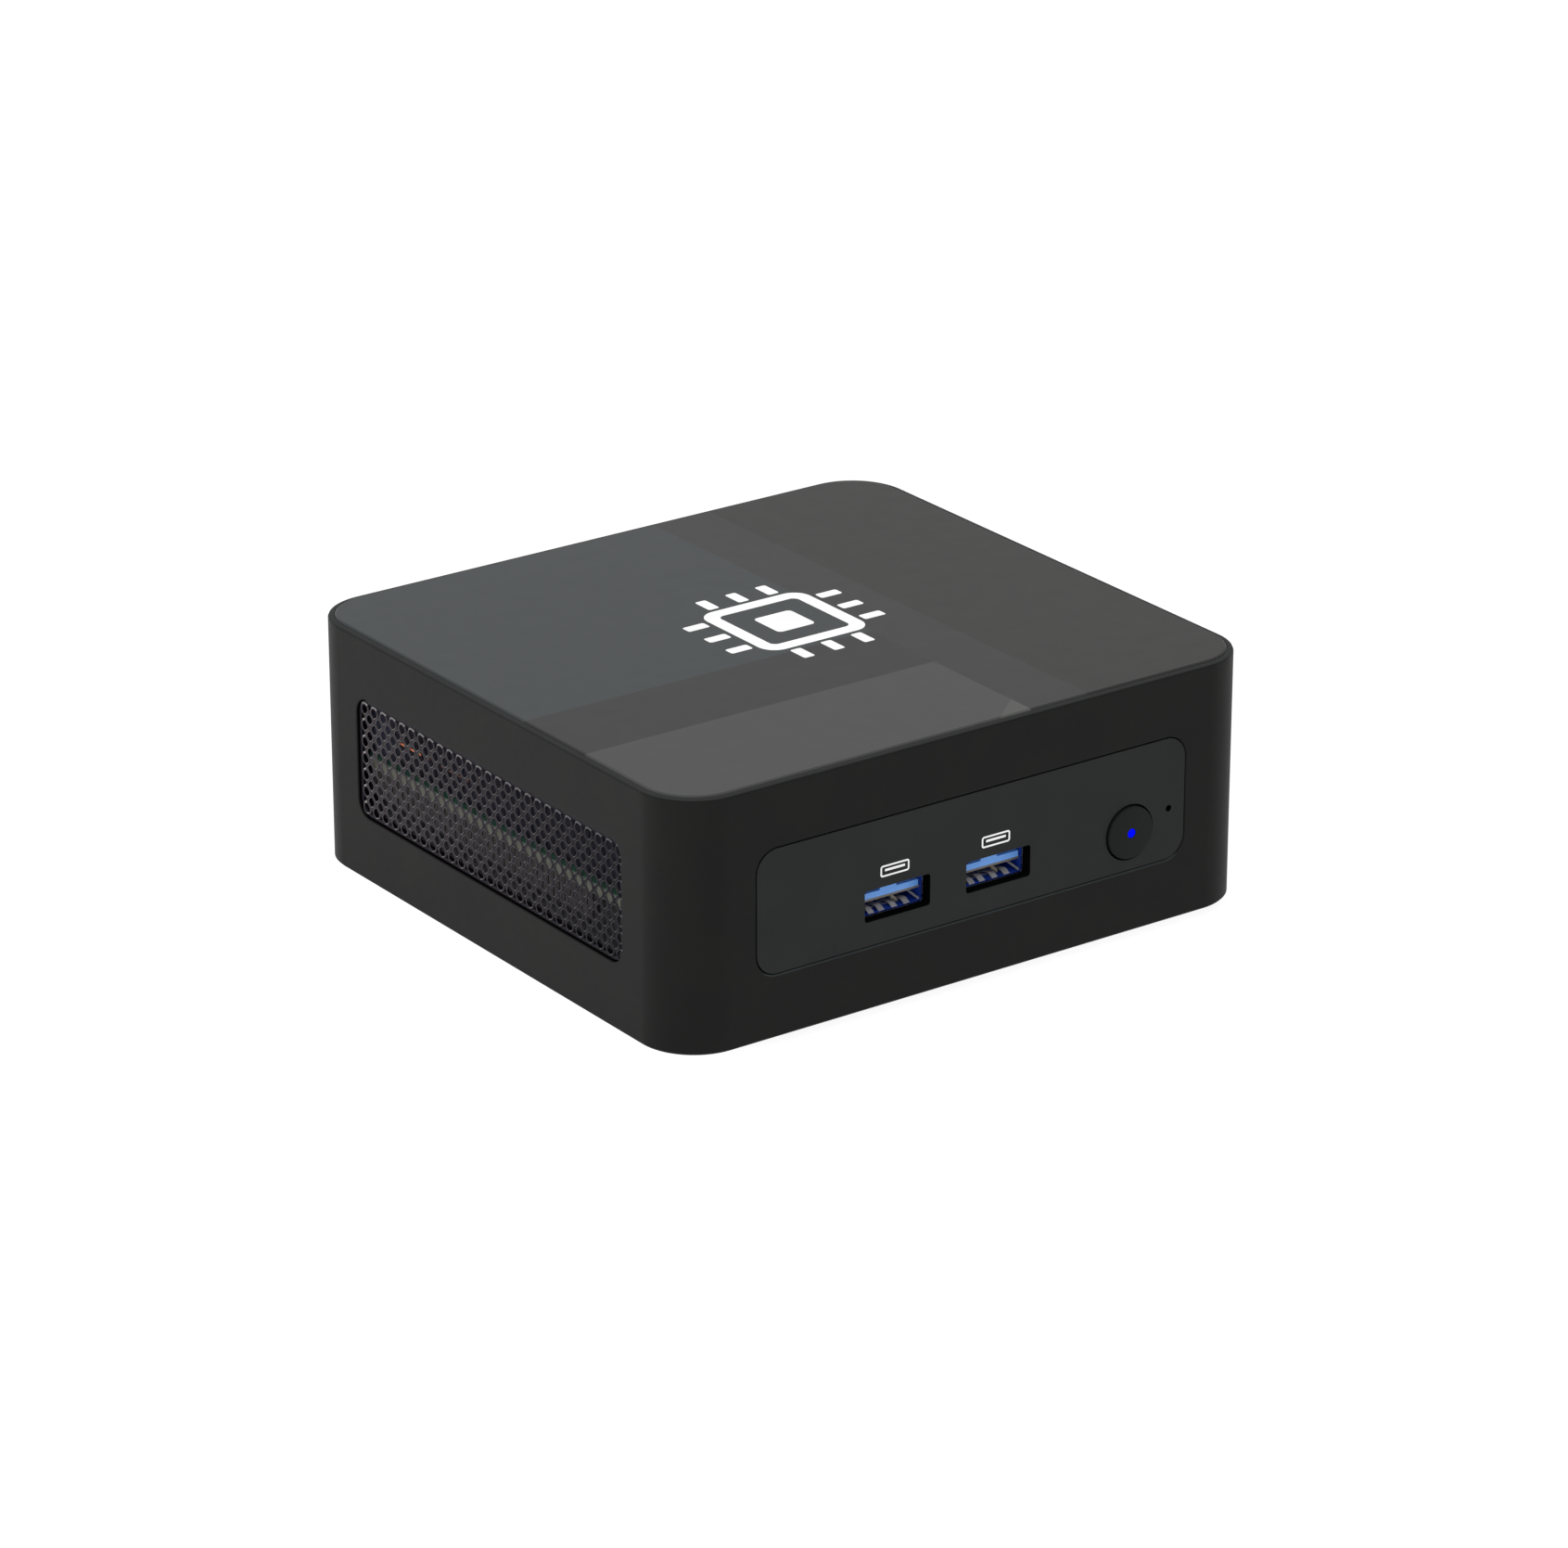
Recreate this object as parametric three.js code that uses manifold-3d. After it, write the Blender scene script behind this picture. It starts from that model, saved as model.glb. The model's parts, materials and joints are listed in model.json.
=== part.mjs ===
// A palm-sized desktop computer: a moulded case with inset front and rear connector panels, a
// pierced vent mesh in each side wall, a lid let into the top rim and a screwed base cover.
// Inside are one board with its sockets, a blower with a heat pipe and fins, and the memory,
// storage and radio cards under the board.
//
// Millimetres, +Z up. The origin is under the middle of the case, on the plane of the feet.
// The front faces -Y. The body group is raised by the feet, so every z inside it is measured
// from the case's bottom rim.
import * as THREE from "three";
import { mergeVertices } from "three/addons/utils/BufferGeometryUtils.js";
import Module from "manifold-3d";

const wasm = await Module();
wasm.setup();

// ---------------------------------------------------------------- driving dimensions
const CASE = { width: 114, depth: 106.4, height: 42.8, corner: 10, wall: 2 };
const GAP = 0.3; // between neighbouring pieces
const SIDE = CASE.width / 2;
const REAR = CASE.depth / 2;
const FRONT = -REAR;
const INNER_X = SIDE - CASE.wall;
const INNER_Y = REAR - CASE.wall;

const RIM = { inset: 1.5, drop: 0.25, chamfer: 0.5, bottomChamfer: 0.4 };
const LID = { thickness: 1.6, gap: 0.15, edge: 0.2, ledge: 1.3, ledgeInset: 4 };
const HOOK = { thickness: 1.2, half: 4, length: 4.2, barb: 0.8, barbLow: 3.8, barbHigh: 2.2 };
const BASE = { low: 0.2, thickness: 1.6, inset: 1.4, gap: 0.15 };
const SLOTS = { count: 9, pitch: 5.2, width: 2, length: 34 };
const BASE_TOP = BASE.low + BASE.thickness;
const FOOT = { radius: 5.5, treadRadius: 4.8, proud: 1.2, x: 36, y: 34, sunk: 0.6 };
const POST = { x: 46.5, y: 42.7, radius: 3.4, low: 2.1, high: 12.4, rib: 0.8 };
const SCREW = { radius: 1.3, head: 2.6, headHeight: 0.9, length: 9.5, slot: 0.25, slotHalf: 1.5 };
const BRACKET = { x: 37.5, padRadius: 5, bossRadius: 3.2, bossTop: 6, hole: 1.25 };

const PANEL = {
  width: 84.6, height: 21.2, corner: 4, z: 21.3,
  face: 1.9, ring: 1.5, lap: 1.4, lapThickness: 1,
};
const VENT = {
  width: 76, height: 20.9, corner: 3, z: 21.65,
  face: 1.2, ring: 1.5, lap: 1.4, lapThickness: 1,
};
const MESH = { recess: 0.3, columns: 10, pitchY: 3.4, pitchZ: 4.84, halfWidth: 1.45, halfHeight: 1.65 };

const BOARD = { x: 46.6, y: 49.4, low: 12.8, thickness: 1.6, corner: 2, holeX: 41.5, holeY: 42, hole: 1.6 };
const ON_BOARD = BOARD.low + BOARD.thickness + GAP;
const UNDER_BOARD = BOARD.low - GAP;

// Sockets stand this far behind a panel's outer face.
const SOCKET_SET = PANEL.face + 0.2;
const USB = {
  width: 12.5, height: 5.12, wall: 0.3, depth: 14,
  slotWidth: 12.7, slotHeight: 5.3, slotCorner: 0.5,
};
const TONGUE = { width: 11.1, height: 1.84, length: 9.7, low: 0.3, set: 0.4 };
const FRONT_USB = { z: 17.55, left: -15.2, right: 4.6 };
const BUTTON = { x: 31, z: 17.4, hole: 4.75, radius: 4.6, dome: 0.6, back: 2.9, travel: 0.5 };
const LENS = { radius: 0.85, proud: 0.62, length: 3.62 };
const STEM = { x: 3, half: 1, end: 4.3 };
const RESET = { x: 39, z: 19.6, pinhole: 0.55 };
const SWITCH = { front: 5.3, depth: 3.5, width: 4.2, above: 2.7, bore: 2.2, plungerLength: 2.1 };

// Places along the rear panel are from left to right as seen from behind.
const VIDEO = { first: -22.6, second: -6.6, z: 17.3, width: 14.1, height: 4.6, wall: 0.4, depth: 12 };
const ETHERNET = { x: 10.6, width: 16, height: 13.4, depth: 21 };
const PLUG_MOUTH = { width: 11.8, low: 3.4, height: 6.8, depth: 14 };
const LATCH_SLOT = { width: 6.2, low: 1.4, depth: 8 };
const STACK = { x: 27, lower: 17.7, upper: 25.3, width: 13.3, height: 13.6, depth: 17 };
const AUDIO = { x: 36.9, z: 17.4, width: 5.6, height: 5.4, depth: 12, bore: 1.8, boreDepth: 11 };
const POWER = { x: -35.8, z: 19.4, width: 8.6, height: 9.4, depth: 13, bore: 2.9, boreDepth: 9.5 };
const POWER_PIN = { radius: 1, front: 0.6, back: 9.2 };
const COLLAR = { wall: 0.45, clearance: 0.15, proud: 0.62 };

const PROCESSOR = { x: -12, y: 6, size: 24, carrier: 0.7, dieWidth: 12, dieDepth: 10, top: 1.2 };
const COLD_PLATE = { width: 40, depth: 34, corner: 3, low: 16.2, thickness: 1.2 };
const PIPE = { width: 7, height: 2.4, low: 17.7, edge: 0.6, bend: 12 };
const PIPE_ROUTE = { leftX: -41, leftY: 38.5, crossY: 12, rightX: 48, rightY: -24 };
const FINS = {
  x: 48.2, width: 9.2, length: 54, low: 20.4, high: 34,
  count: 19, thickness: 0.5, floor: 0.8,
};
const FAN = {
  x: 13, low: 22.5, floor: 1.2, top: 33, radius: 27.5,
  outlet: 29.6, skin: 1.2, leg: 2.2, shaft: 1.25,
};
const FAN_LEGS = [[-17, -20], [23, -22], [23, 22]];
const FAN_LID = { low: 33.2, thickness: 0.8, hole: 17 };
const ROTOR = { low: 24.1, top: 32.4, radius: 24.3, disc: 17.5, discThickness: 1, hub: 11, blades: 17 };
const ROTOR_BORE = { radius: 1.4, depth: 5.4 };

const MEMORY = { y: -36, width: 72.4, height: 4.6, front: -6.5, back: 0.5, arm: 2.8, armLength: 24 };
const MODULE = { width: 66, front: -3.6, back: 26, below: 2.9, thickness: 1, chip: 10, chipY: 8 };
const SSD = {
  y: 10, socketLeft: -41, socketWidth: 7, socketDepth: 22, socketHeight: 4.2,
  cardRight: 40, below: 3,
};
const CARD = { thickness: 0.8, chipBelow: 1.2, chipInto: 0.4 };
const RADIO = { x: -24, y: 35.5, width: 30, depth: 22, below: 2.4, canWidth: 21, canDepth: 18 };
const CLOCK = { x: 22, y: 35, radius: 10.4, height: 4.2 };
const AERIAL = { x: 29, length: 34, low: 33.9, height: 5.3, thickness: 0.5 };
const LEAD = { aerial: 0.6, fan: 0.8, sides: 8 };

// ---------------------------------------------------------------- materials
const paint = (color, roughness, metalness = 0) =>
  new THREE.MeshStandardMaterial({ color, roughness, metalness });
const CASE_BLACK = paint(0x1f2020, 0.6);
const LID_GREY = paint(0x3a3b3c, 0.3);
const PANEL_BLACK = paint(0x272929, 0.55);
const MESH_BROWN = paint(0x37312f, 0.5);
const RUBBER = paint(0x18181a, 0.9);
const STEEL = paint(0xb8bcc0, 0.3, 1);
const BLACK_STEEL = paint(0x2a2a2c, 0.4, 0.8);
const USB_BLUE = paint(0x2b5fd0, 0.45);
const SOCKET_BLACK = paint(0x151516, 0.5);
const GILT = paint(0xc7b078, 0.3, 1);
const GLOW_BLUE = paint(0x0a20ff, 0.3);
const BOARD_GREEN = paint(0x1d5a3a, 0.5);
const CARD_BLUE = paint(0x174a6a, 0.5);
const COPPER = paint(0xb5653c, 0.3, 1);
const ALUMINIUM = paint(0xb4b7ba, 0.4, 1);
const FAN_BLACK = paint(0x1b1b1d, 0.5);
const SILICON = paint(0x5a5f66, 0.25, 0.4);
const WRAP = paint(0x20242a, 0.5);
const LEAD_GREY = paint(0x2c2c2e, 0.6);

// ---------------------------------------------------------------- shape helpers
// Outlines are lists of points that go anticlockwise.
const QUADRANTS = [[1, 1], [-1, 1], [-1, -1], [1, -1]];

function roundedPoints(width, height, radius, x = 0, y = 0, steps = 4) {
  return QUADRANTS.flatMap(([sx, sy], quarter) => {
    const cx = x + sx * (width / 2 - radius);
    const cy = y + sy * (height / 2 - radius);
    return Array.from({ length: steps + 1 }, (_, i) => {
      const turn = (quarter + i / steps) * (Math.PI / 2);
      return new THREE.Vector2(cx + radius * Math.cos(turn), cy + radius * Math.sin(turn));
    });
  });
}

function rectanglePoints(width, height, x = 0, y = 0) {
  return QUADRANTS.map(([sx, sy]) => new THREE.Vector2(x + (sx * width) / 2, y + (sy * height) / 2));
}

function circlePoints(radius, x = 0, y = 0, sides = 16) {
  return Array.from({ length: sides }, (_, i) => {
    const turn = (i / sides) * 2 * Math.PI;
    return new THREE.Vector2(x + radius * Math.cos(turn), y + radius * Math.sin(turn));
  });
}

// A flat outline raised from low to high along Z, pierced by the hole outlines given.
function slab(outline, low, high, holes = []) {
  const settings = { depth: high - low, bevelEnabled: false, steps: 1 };
  const solid = new THREE.ExtrudeGeometry(new THREE.Shape(outline), settings).translate(0, 0, low);
  return holes.length ? cut(solid, ...holes.map((hole) => slab(hole, low - 1, high + 1))) : solid;
}

// A box from its lowest to its highest corner.
function block([x0, y0, z0], [x1, y1, z1]) {
  const box = new THREE.BoxGeometry(x1 - x0, y1 - y0, z1 - z0);
  return box.translate((x0 + x1) / 2, (y0 + y1) / 2, (z0 + z1) / 2);
}

// A box of the given width, centred on x = 0.
const middleBlock = (width, [y0, y1], [z0, z1]) => block([-width / 2, y0, z0], [width / 2, y1, z1]);

const rod = (radius, low, high, x = 0, y = 0, sides = 16) =>
  slab(circlePoints(radius, x, y, sides), low, high);

// A slab stood up, so that its outline lies in X and Z, from y0 back to y1.
function frontPlate(outline, y0, y1, holes) {
  return slab(outline, -y1, -y0, holes).rotateX(Math.PI / 2);
}

// A slab stood up, so that its outline lies in Y and Z, from x0 to x1.
function sidePlate(outline, x0, x1, holes) {
  return slab(outline, x0, x1, holes).rotateZ(Math.PI / 2).rotateY(Math.PI / 2);
}

// A rod along Y from y0 to y1, round the point x, z.
const pin = (radius, [y0, y1], x, z, sides = 12) => frontPlate(circlePoints(radius, x, z, sides), y0, y1);

// A solid through outlines of equal point count, one at each height, lowest first.
function loft(levels) {
  const count = levels[0].outline.length;
  const position = levels.flatMap(({ outline, z }) => outline.flatMap((p) => [p.x, p.y, z]));
  const index = [];
  for (let k = 0; k + 1 < levels.length; k++) {
    for (let i = 0; i < count; i++) {
      const a = k * count + i;
      const b = k * count + ((i + 1) % count);
      index.push(a, b, b + count, a, b + count, a + count);
    }
  }
  const top = (levels.length - 1) * count;
  for (const [a, b, c] of THREE.ShapeUtils.triangulateShape(levels[0].outline, [])) {
    index.push(c, b, a, top + a, top + b, top + c);
  }
  const geometry = new THREE.BufferGeometry();
  geometry.setAttribute("position", new THREE.Float32BufferAttribute(position, 3));
  geometry.setIndex(index);
  return geometry;
}

// A solid turned about Y from [radius, distance in front of y = 0] points.
function turned(profile, segments) {
  const points = profile.map(([radius, forward]) => new THREE.Vector2(radius, forward));
  return new THREE.LatheGeometry(points, segments).rotateX(Math.PI);
}

// A round lead of the given radius along a smooth curve through the points.
function lead(route, radius, steps) {
  const points = route.map((p) => new THREE.Vector3(...p));
  const extrudePath = new THREE.CatmullRomCurve3(points, false, "centripetal");
  const section = new THREE.Shape(circlePoints(radius, 0, 0, LEAD.sides));
  return new THREE.ExtrudeGeometry(section, { steps, extrudePath, bevelEnabled: false });
}

// ---------------------------------------------------------------- booleans
function toSolid(geometry) {
  const bare = geometry.clone();
  bare.deleteAttribute("normal");
  bare.deleteAttribute("uv");
  const merged = mergeVertices(bare, 1e-4);
  return new wasm.Manifold(new wasm.Mesh({
    numProp: 3,
    vertProperties: merged.attributes.position.array,
    triVerts: new Uint32Array(merged.index.array),
  }));
}

function toGeometry(solid) {
  const mesh = solid.getMesh();
  const geometry = new THREE.BufferGeometry();
  geometry.setAttribute("position", new THREE.BufferAttribute(mesh.vertProperties, 3));
  geometry.setIndex(new THREE.BufferAttribute(mesh.triVerts, 1));
  return geometry;
}

function join(first, ...rest) {
  return toGeometry(rest.reduce((whole, piece) => whole.add(toSolid(piece)), toSolid(first)));
}

function cut(first, ...rest) {
  return toGeometry(rest.reduce((whole, piece) => whole.subtract(toSolid(piece)), toSolid(first)));
}

// ---------------------------------------------------------------- assembly helpers
const computer = new THREE.Group();
const body = at(0, 0, FOOT.proud, computer);

function at(x, y, z, parent = body) {
  const group = new THREE.Group();
  group.position.set(x, y, z);
  parent.add(group);
  return group;
}

function add(name, geometry, material, parent = body) {
  const mesh = new THREE.Mesh(geometry, material);
  mesh.name = name;
  parent.add(mesh);
}

const CORNERS = [
  { place: "front_left", sx: -1, sy: -1 },
  { place: "front_right", sx: 1, sy: -1 },
  { place: "rear_left", sx: -1, sy: 1 },
  { place: "rear_right", sx: 1, sy: 1 },
];

// ---------------------------------------------------------------- case shell
function caseOutline(inset) {
  return roundedPoints(CASE.width - 2 * inset, CASE.depth - 2 * inset, CASE.corner - inset, 0, 0, 6);
}

function shellWalls() {
  const top = CASE.height;
  const seat = top - LID.thickness - GAP;
  const outside = loft([
    { outline: caseOutline(RIM.bottomChamfer), z: 0 },
    { outline: caseOutline(0), z: RIM.bottomChamfer },
    { outline: caseOutline(0), z: top - RIM.drop - RIM.chamfer },
    { outline: caseOutline(RIM.chamfer), z: top - RIM.drop },
    { outline: caseOutline(RIM.inset), z: top },
  ]);
  return cut(
    outside,
    slab(caseOutline(BASE.inset), -1, BASE_TOP + GAP),
    slab(caseOutline(CASE.wall), BASE_TOP, seat - LID.ledge),
    slab(caseOutline(LID.ledgeInset), seat - LID.ledge - 1, seat + 1),
    slab(caseOutline(RIM.inset), seat, top + 1),
  );
}

const windowOutline = (size, grow = 0) =>
  roundedPoints(size.width + 2 * grow, size.height + 2 * grow, size.corner + grow, 0, size.z);

// A screw post in each corner, tied to both walls by ribs.
function screwPost({ sx, sy }) {
  const reachX = SIDE - CASE.wall / 2 - POST.x;
  const reachY = REAR - CASE.wall / 2 - POST.y;
  const ribTop = POST.high - 2;
  const post = join(
    rod(POST.radius, POST.low, POST.high),
    block([Math.min(0, sx * reachX), -POST.rib, POST.low], [Math.max(0, sx * reachX), POST.rib, ribTop]),
    block([-POST.rib, Math.min(0, sy * reachY), POST.low], [POST.rib, Math.max(0, sy * reachY), ribTop]),
  );
  return post.translate(sx * POST.x, sy * POST.y, 0);
}

function caseShell() {
  const past = 1;
  const windows = [
    frontPlate(windowOutline(PANEL), FRONT - past, FRONT + CASE.wall + past),
    frontPlate(windowOutline(PANEL), INNER_Y - past, REAR + past),
    sidePlate(windowOutline(VENT), -SIDE - past, past - INNER_X),
    sidePlate(windowOutline(VENT), INNER_X - past, SIDE + past),
  ];
  const bores = CORNERS.map(({ sx, sy }) =>
    rod(SCREW.radius, POST.low - 1, POST.high - 1.5, sx * POST.x, sy * POST.y, 12));
  return cut(join(cut(shellWalls(), ...windows), ...CORNERS.map(screwPost)), ...bores);
}
add("case_shell", caseShell(), CASE_BLACK);

// ---------------------------------------------------------------- lid
// A hook whose outer face is at x = reach, with a barb that catches under the shell's ledge.
function lidHook(reach, top) {
  const { thickness, half, length, barb, barbLow, barbHigh } = HOOK;
  return join(
    block([reach - thickness, -half, top - length], [reach, half, top + LID.edge]),
    block([reach - thickness, -half, top - barbLow], [reach + barb, half, top - barbHigh]),
  );
}

function topCover() {
  const inset = RIM.inset + LID.gap;
  const low = CASE.height - LID.thickness;
  const plate = loft([
    { outline: caseOutline(inset), z: low },
    { outline: caseOutline(inset), z: CASE.height - LID.edge },
    { outline: caseOutline(inset + LID.edge), z: CASE.height },
  ]);
  const hooks = [SIDE, REAR, SIDE, REAR].map((half, quarter) =>
    lidHook(half - LID.ledgeInset - GAP, low).rotateZ((quarter * Math.PI) / 2));
  return join(plate, ...hooks);
}
add("top_cover", topCover(), LID_GREY);

// ---------------------------------------------------------------- base cover, screws and feet
function baseCover() {
  const { low } = BASE;
  const shank = SCREW.radius + LID.gap;
  const head = SCREW.head + LID.gap;
  const headTop = low + SCREW.headHeight + 0.1;
  const atCorners = (make) => CORNERS.map(({ sx, sy }) => make(sx, sy));
  const atBrackets = (make) => [-1, 1].map((sx) => make(sx * BRACKET.x));
  const slots = Array.from({ length: SLOTS.count }, (_, i) =>
    rectanglePoints(SLOTS.width, SLOTS.length, (i - (SLOTS.count - 1) / 2) * SLOTS.pitch));
  const plate = slab(caseOutline(BASE.inset + BASE.gap), low, BASE_TOP, slots);
  const padded = join(
    plate,
    ...atBrackets((x) => rod(BRACKET.padRadius, 0, low + LID.edge, x, 0)),
    ...atBrackets((x) => rod(BRACKET.bossRadius, BASE_TOP - LID.edge, BRACKET.bossTop, x, 0)),
  );
  return cut(
    padded,
    ...atBrackets((x) => rod(BRACKET.hole, -1, BRACKET.bossTop - 1, x, 0, 12)),
    ...atCorners((sx, sy) => rod(shank, -1, BASE_TOP + 1, sx * POST.x, sy * POST.y, 12)),
    ...atCorners((sx, sy) => rod(head, -1, headTop, sx * POST.x, sy * POST.y)),
    ...atCorners((sx, sy) => rod(FOOT.radius + 0.1, -1, low + FOOT.sunk, sx * FOOT.x, sy * FOOT.y)),
  );
}
add("base_cover", baseCover(), CASE_BLACK);

function baseScrew() {
  const { radius, head, headHeight, length, slot, slotHalf } = SCREW;
  const { low } = BASE;
  const drive = [low - 1, low + headHeight / 2];
  return cut(
    join(rod(head, low, low + headHeight), rod(radius - 0.1, low + slot, low + length, 0, 0, 8)),
    middleBlock(2 * slotHalf, [-slot, slot], drive),
    middleBlock(2 * slot, [-slotHalf, slotHalf], drive),
  );
}

function foot() {
  const top = BASE.low + FOOT.sunk - 0.05;
  const { radius, treadRadius, proud } = FOOT;
  const profile = [[0, -top], [radius, -top], [radius, 0], [treadRadius, proud], [0, proud]];
  return turned(profile, 16).rotateX(Math.PI / 2);
}

for (const { place, sx, sy } of CORNERS) {
  add(`base_screw_${place}`, baseScrew(), BLACK_STEEL, at(sx * POST.x, sy * POST.y, 0));
  add(`foot_${place}`, foot(), RUBBER, at(sx * FOOT.x, sy * FOOT.y, 0));
}

// ---------------------------------------------------------------- connector panels
// A face plate that fills its window, a ring behind the plate, and a lap inside the case wall.
function insert(size, wallDepth, plate, holes) {
  const fitted = windowOutline(size, -GAP);
  const inner = windowOutline(size, -GAP - size.ring);
  const lapStart = wallDepth + GAP;
  const lapEnd = lapStart + size.lapThickness;
  return join(
    plate(fitted, 0, size.face, holes),
    plate(fitted, size.face / 2, lapEnd, [inner]),
    plate(windowOutline(size, size.lap), lapStart, lapEnd, [inner]),
  );
}

const connectorPanel = (holes) => insert(PANEL, CASE.wall, frontPlate, holes);

const usbSlot = (x, z) => roundedPoints(USB.slotWidth, USB.slotHeight, USB.slotCorner, x, z, 2);

add("front_panel", connectorPanel([
  usbSlot(FRONT_USB.left, FRONT_USB.z),
  usbSlot(FRONT_USB.right, FRONT_USB.z),
  circlePoints(BUTTON.hole, BUTTON.x, BUTTON.z, 24),
  circlePoints(RESET.pinhole, RESET.x, RESET.z, 8),
]), PANEL_BLACK, at(0, FRONT, 0));

const rear = at(0, REAR, 0);
rear.rotation.z = Math.PI;

const collarHole = ({ bore, x, z }) => circlePoints(bore + COLLAR.wall + COLLAR.clearance, x, z);
const videoSlot = (x) =>
  roundedPoints(VIDEO.width + GAP, VIDEO.height + GAP, USB.slotCorner, x, VIDEO.z, 2);
const plugTop = ON_BOARD + PLUG_MOUTH.low + PLUG_MOUTH.height + GAP;
const plugSlotHeight = plugTop - ON_BOARD - LATCH_SLOT.low + GAP;

add("rear_panel", connectorPanel([
  collarHole(POWER),
  videoSlot(VIDEO.first),
  videoSlot(VIDEO.second),
  rectanglePoints(PLUG_MOUTH.width + 2 * GAP, plugSlotHeight, ETHERNET.x, plugTop - plugSlotHeight / 2),
  usbSlot(STACK.x, STACK.lower),
  usbSlot(STACK.x, STACK.upper),
  collarHole(AUDIO),
]), PANEL_BLACK, rear);

// ---------------------------------------------------------------- vent meshes
// Diamond holes in staggered columns: four in one column, three in the next.
function meshHoles() {
  const { columns, pitchY, pitchZ, halfWidth, halfHeight } = MESH;
  const holes = [];
  for (let column = -columns; column <= columns; column++) {
    const count = column % 2 === 0 ? 4 : 3;
    for (let row = 0; row < count; row++) {
      const y = column * pitchY;
      const z = VENT.z + (row - (count - 1) / 2) * pitchZ;
      holes.push([[halfWidth, 0], [0, halfHeight], [-halfWidth, 0], [0, -halfHeight]]
        .map(([dy, dz]) => new THREE.Vector2(y + dy, z + dz)));
    }
  }
  return holes;
}

const ventMesh = () => insert(VENT, CASE.wall - MESH.recess, sidePlate, meshHoles());
add("left_vent_mesh", ventMesh(), MESH_BROWN, at(-SIDE + MESH.recess, 0, 0));
const rightSide = at(SIDE - MESH.recess, 0, 0);
rightSide.rotation.z = Math.PI;
add("right_vent_mesh", ventMesh(), MESH_BROWN, rightSide);

// ---------------------------------------------------------------- power button
const button = at(BUTTON.x, FRONT, BUTTON.z);

// A domed ring round the light pipe, with two lugs behind the panel and an offset stem.
function powerButton() {
  const { radius, dome, back } = BUTTON;
  const bore = LENS.radius + 0.1;
  const domeSteps = 4;
  const profile = [[bore, -back], [radius, -back]];
  for (let i = 0; i <= domeSteps; i++) {
    const r = radius + ((bore - radius) * i) / domeSteps;
    profile.push([r, dome * (1 - (r / radius) ** 2)]);
  }
  profile.push(profile[0]);
  const lugs = middleBlock(2 * radius + 2, [back - 0.7, back], [-1.5, 1.5]);
  const { half } = STEM;
  const stem = block([STEM.x - half, back - 0.5, -half], [STEM.x + half, STEM.end, half]);
  const clear = pin(bore, [-1, STEM.end + 1], 0, 0, 24);
  return cut(join(turned(profile, 24), lugs, stem), clear);
}
add("power_button", powerButton(), PANEL_BLACK, button);

function lightPipe() {
  const { radius, proud, length } = LENS;
  const back = proud - length;
  const front = [[radius, proud - 0.1], [radius * 0.6, proud], [0, proud]];
  return turned([[0, back], [radius, back], ...front], 16);
}
add("power_light_pipe", lightPipe(), GLOW_BLUE, button);

// ---------------------------------------------------------------- switches behind the front panel
// Each switch stands on the board. Its plunger sticks out of a blind bore towards the front.
function addSwitch(name, x, z, plungerRadius, plungerFront) {
  const place = at(x, FRONT, 0);
  const back = SWITCH.front + SWITCH.depth;
  const housing = middleBlock(SWITCH.width, [SWITCH.front, back], [ON_BOARD, z + SWITCH.above]);
  const bore = pin(plungerRadius + 0.15, [SWITCH.front - 1, SWITCH.front + SWITCH.bore], 0, z);
  add(`${name}_switch_body`, cut(housing, bore), SOCKET_BLACK, place);
  const plunger = pin(plungerRadius, [plungerFront, plungerFront + SWITCH.plungerLength], 0, z);
  add(`${name}_switch_plunger`, plunger, STEEL, place);
}
addSwitch("power", BUTTON.x + STEM.x, BUTTON.z, 1, STEM.end + 0.1);
addSwitch("reset", RESET.x, RESET.z, 0.9, 4.6);

const powerLed = middleBlock(1.4, [3.9, 6.7], [ON_BOARD, BUTTON.z + LENS.radius]);
add("power_led", powerLed, GLOW_BLUE, at(BUTTON.x, FRONT, 0));

// ---------------------------------------------------------------- USB and video sockets
// A thin metal tube of rectangular section, open at the front and closed at the back.
function socketShell({ width, height, wall, depth }, z) {
  return cut(
    middleBlock(width + 2 * wall, [0, depth], [z - height / 2 - wall, z + height / 2 + wall]),
    middleBlock(width, [-1, depth - wall], [z - height / 2, z + height / 2]),
  );
}

// The moulding that fills the back of a USB socket and carries its tongue.
function usbInsulator(z, depth) {
  const { width, height, length, low, set } = TONGUE;
  const root = set + length;
  return join(
    middleBlock(USB.width - 0.3, [root - 0.5, depth - USB.wall - 0.2], [z - 2.4, z + 2.4]),
    middleBlock(width, [set, root], [z + low, z + low + height]),
  );
}

// Spring strips under the tongue, held by a carrier strip at their roots.
function usbContacts(z) {
  const strip = { top: z + TONGUE.low - 0.1, thickness: 0.3, width: 1, front: 1.6, root: 8.8, back: 9.4 };
  const low = strip.top - strip.thickness;
  const strips = [-3.5, -1.2, 1.2, 3.5].map((x) =>
    middleBlock(strip.width, [strip.front, strip.back], [low, strip.top]).translate(x, 0, 0));
  return join(middleBlock(8, [strip.root, strip.back], [low, strip.top]), ...strips);
}

for (const side of ["left", "right"]) {
  const socket = at(FRONT_USB[side], FRONT + SOCKET_SET, 0);
  add(`front_usb_${side}_shell`, socketShell(USB, FRONT_USB.z), STEEL, socket);
  add(`front_usb_${side}_insulator`, usbInsulator(FRONT_USB.z, USB.depth), USB_BLUE, socket);
  add(`front_usb_${side}_contacts`, usbContacts(FRONT_USB.z), GILT, socket);
}

const onRear = (x) => at(x, SOCKET_SET, 0, rear);

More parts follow.
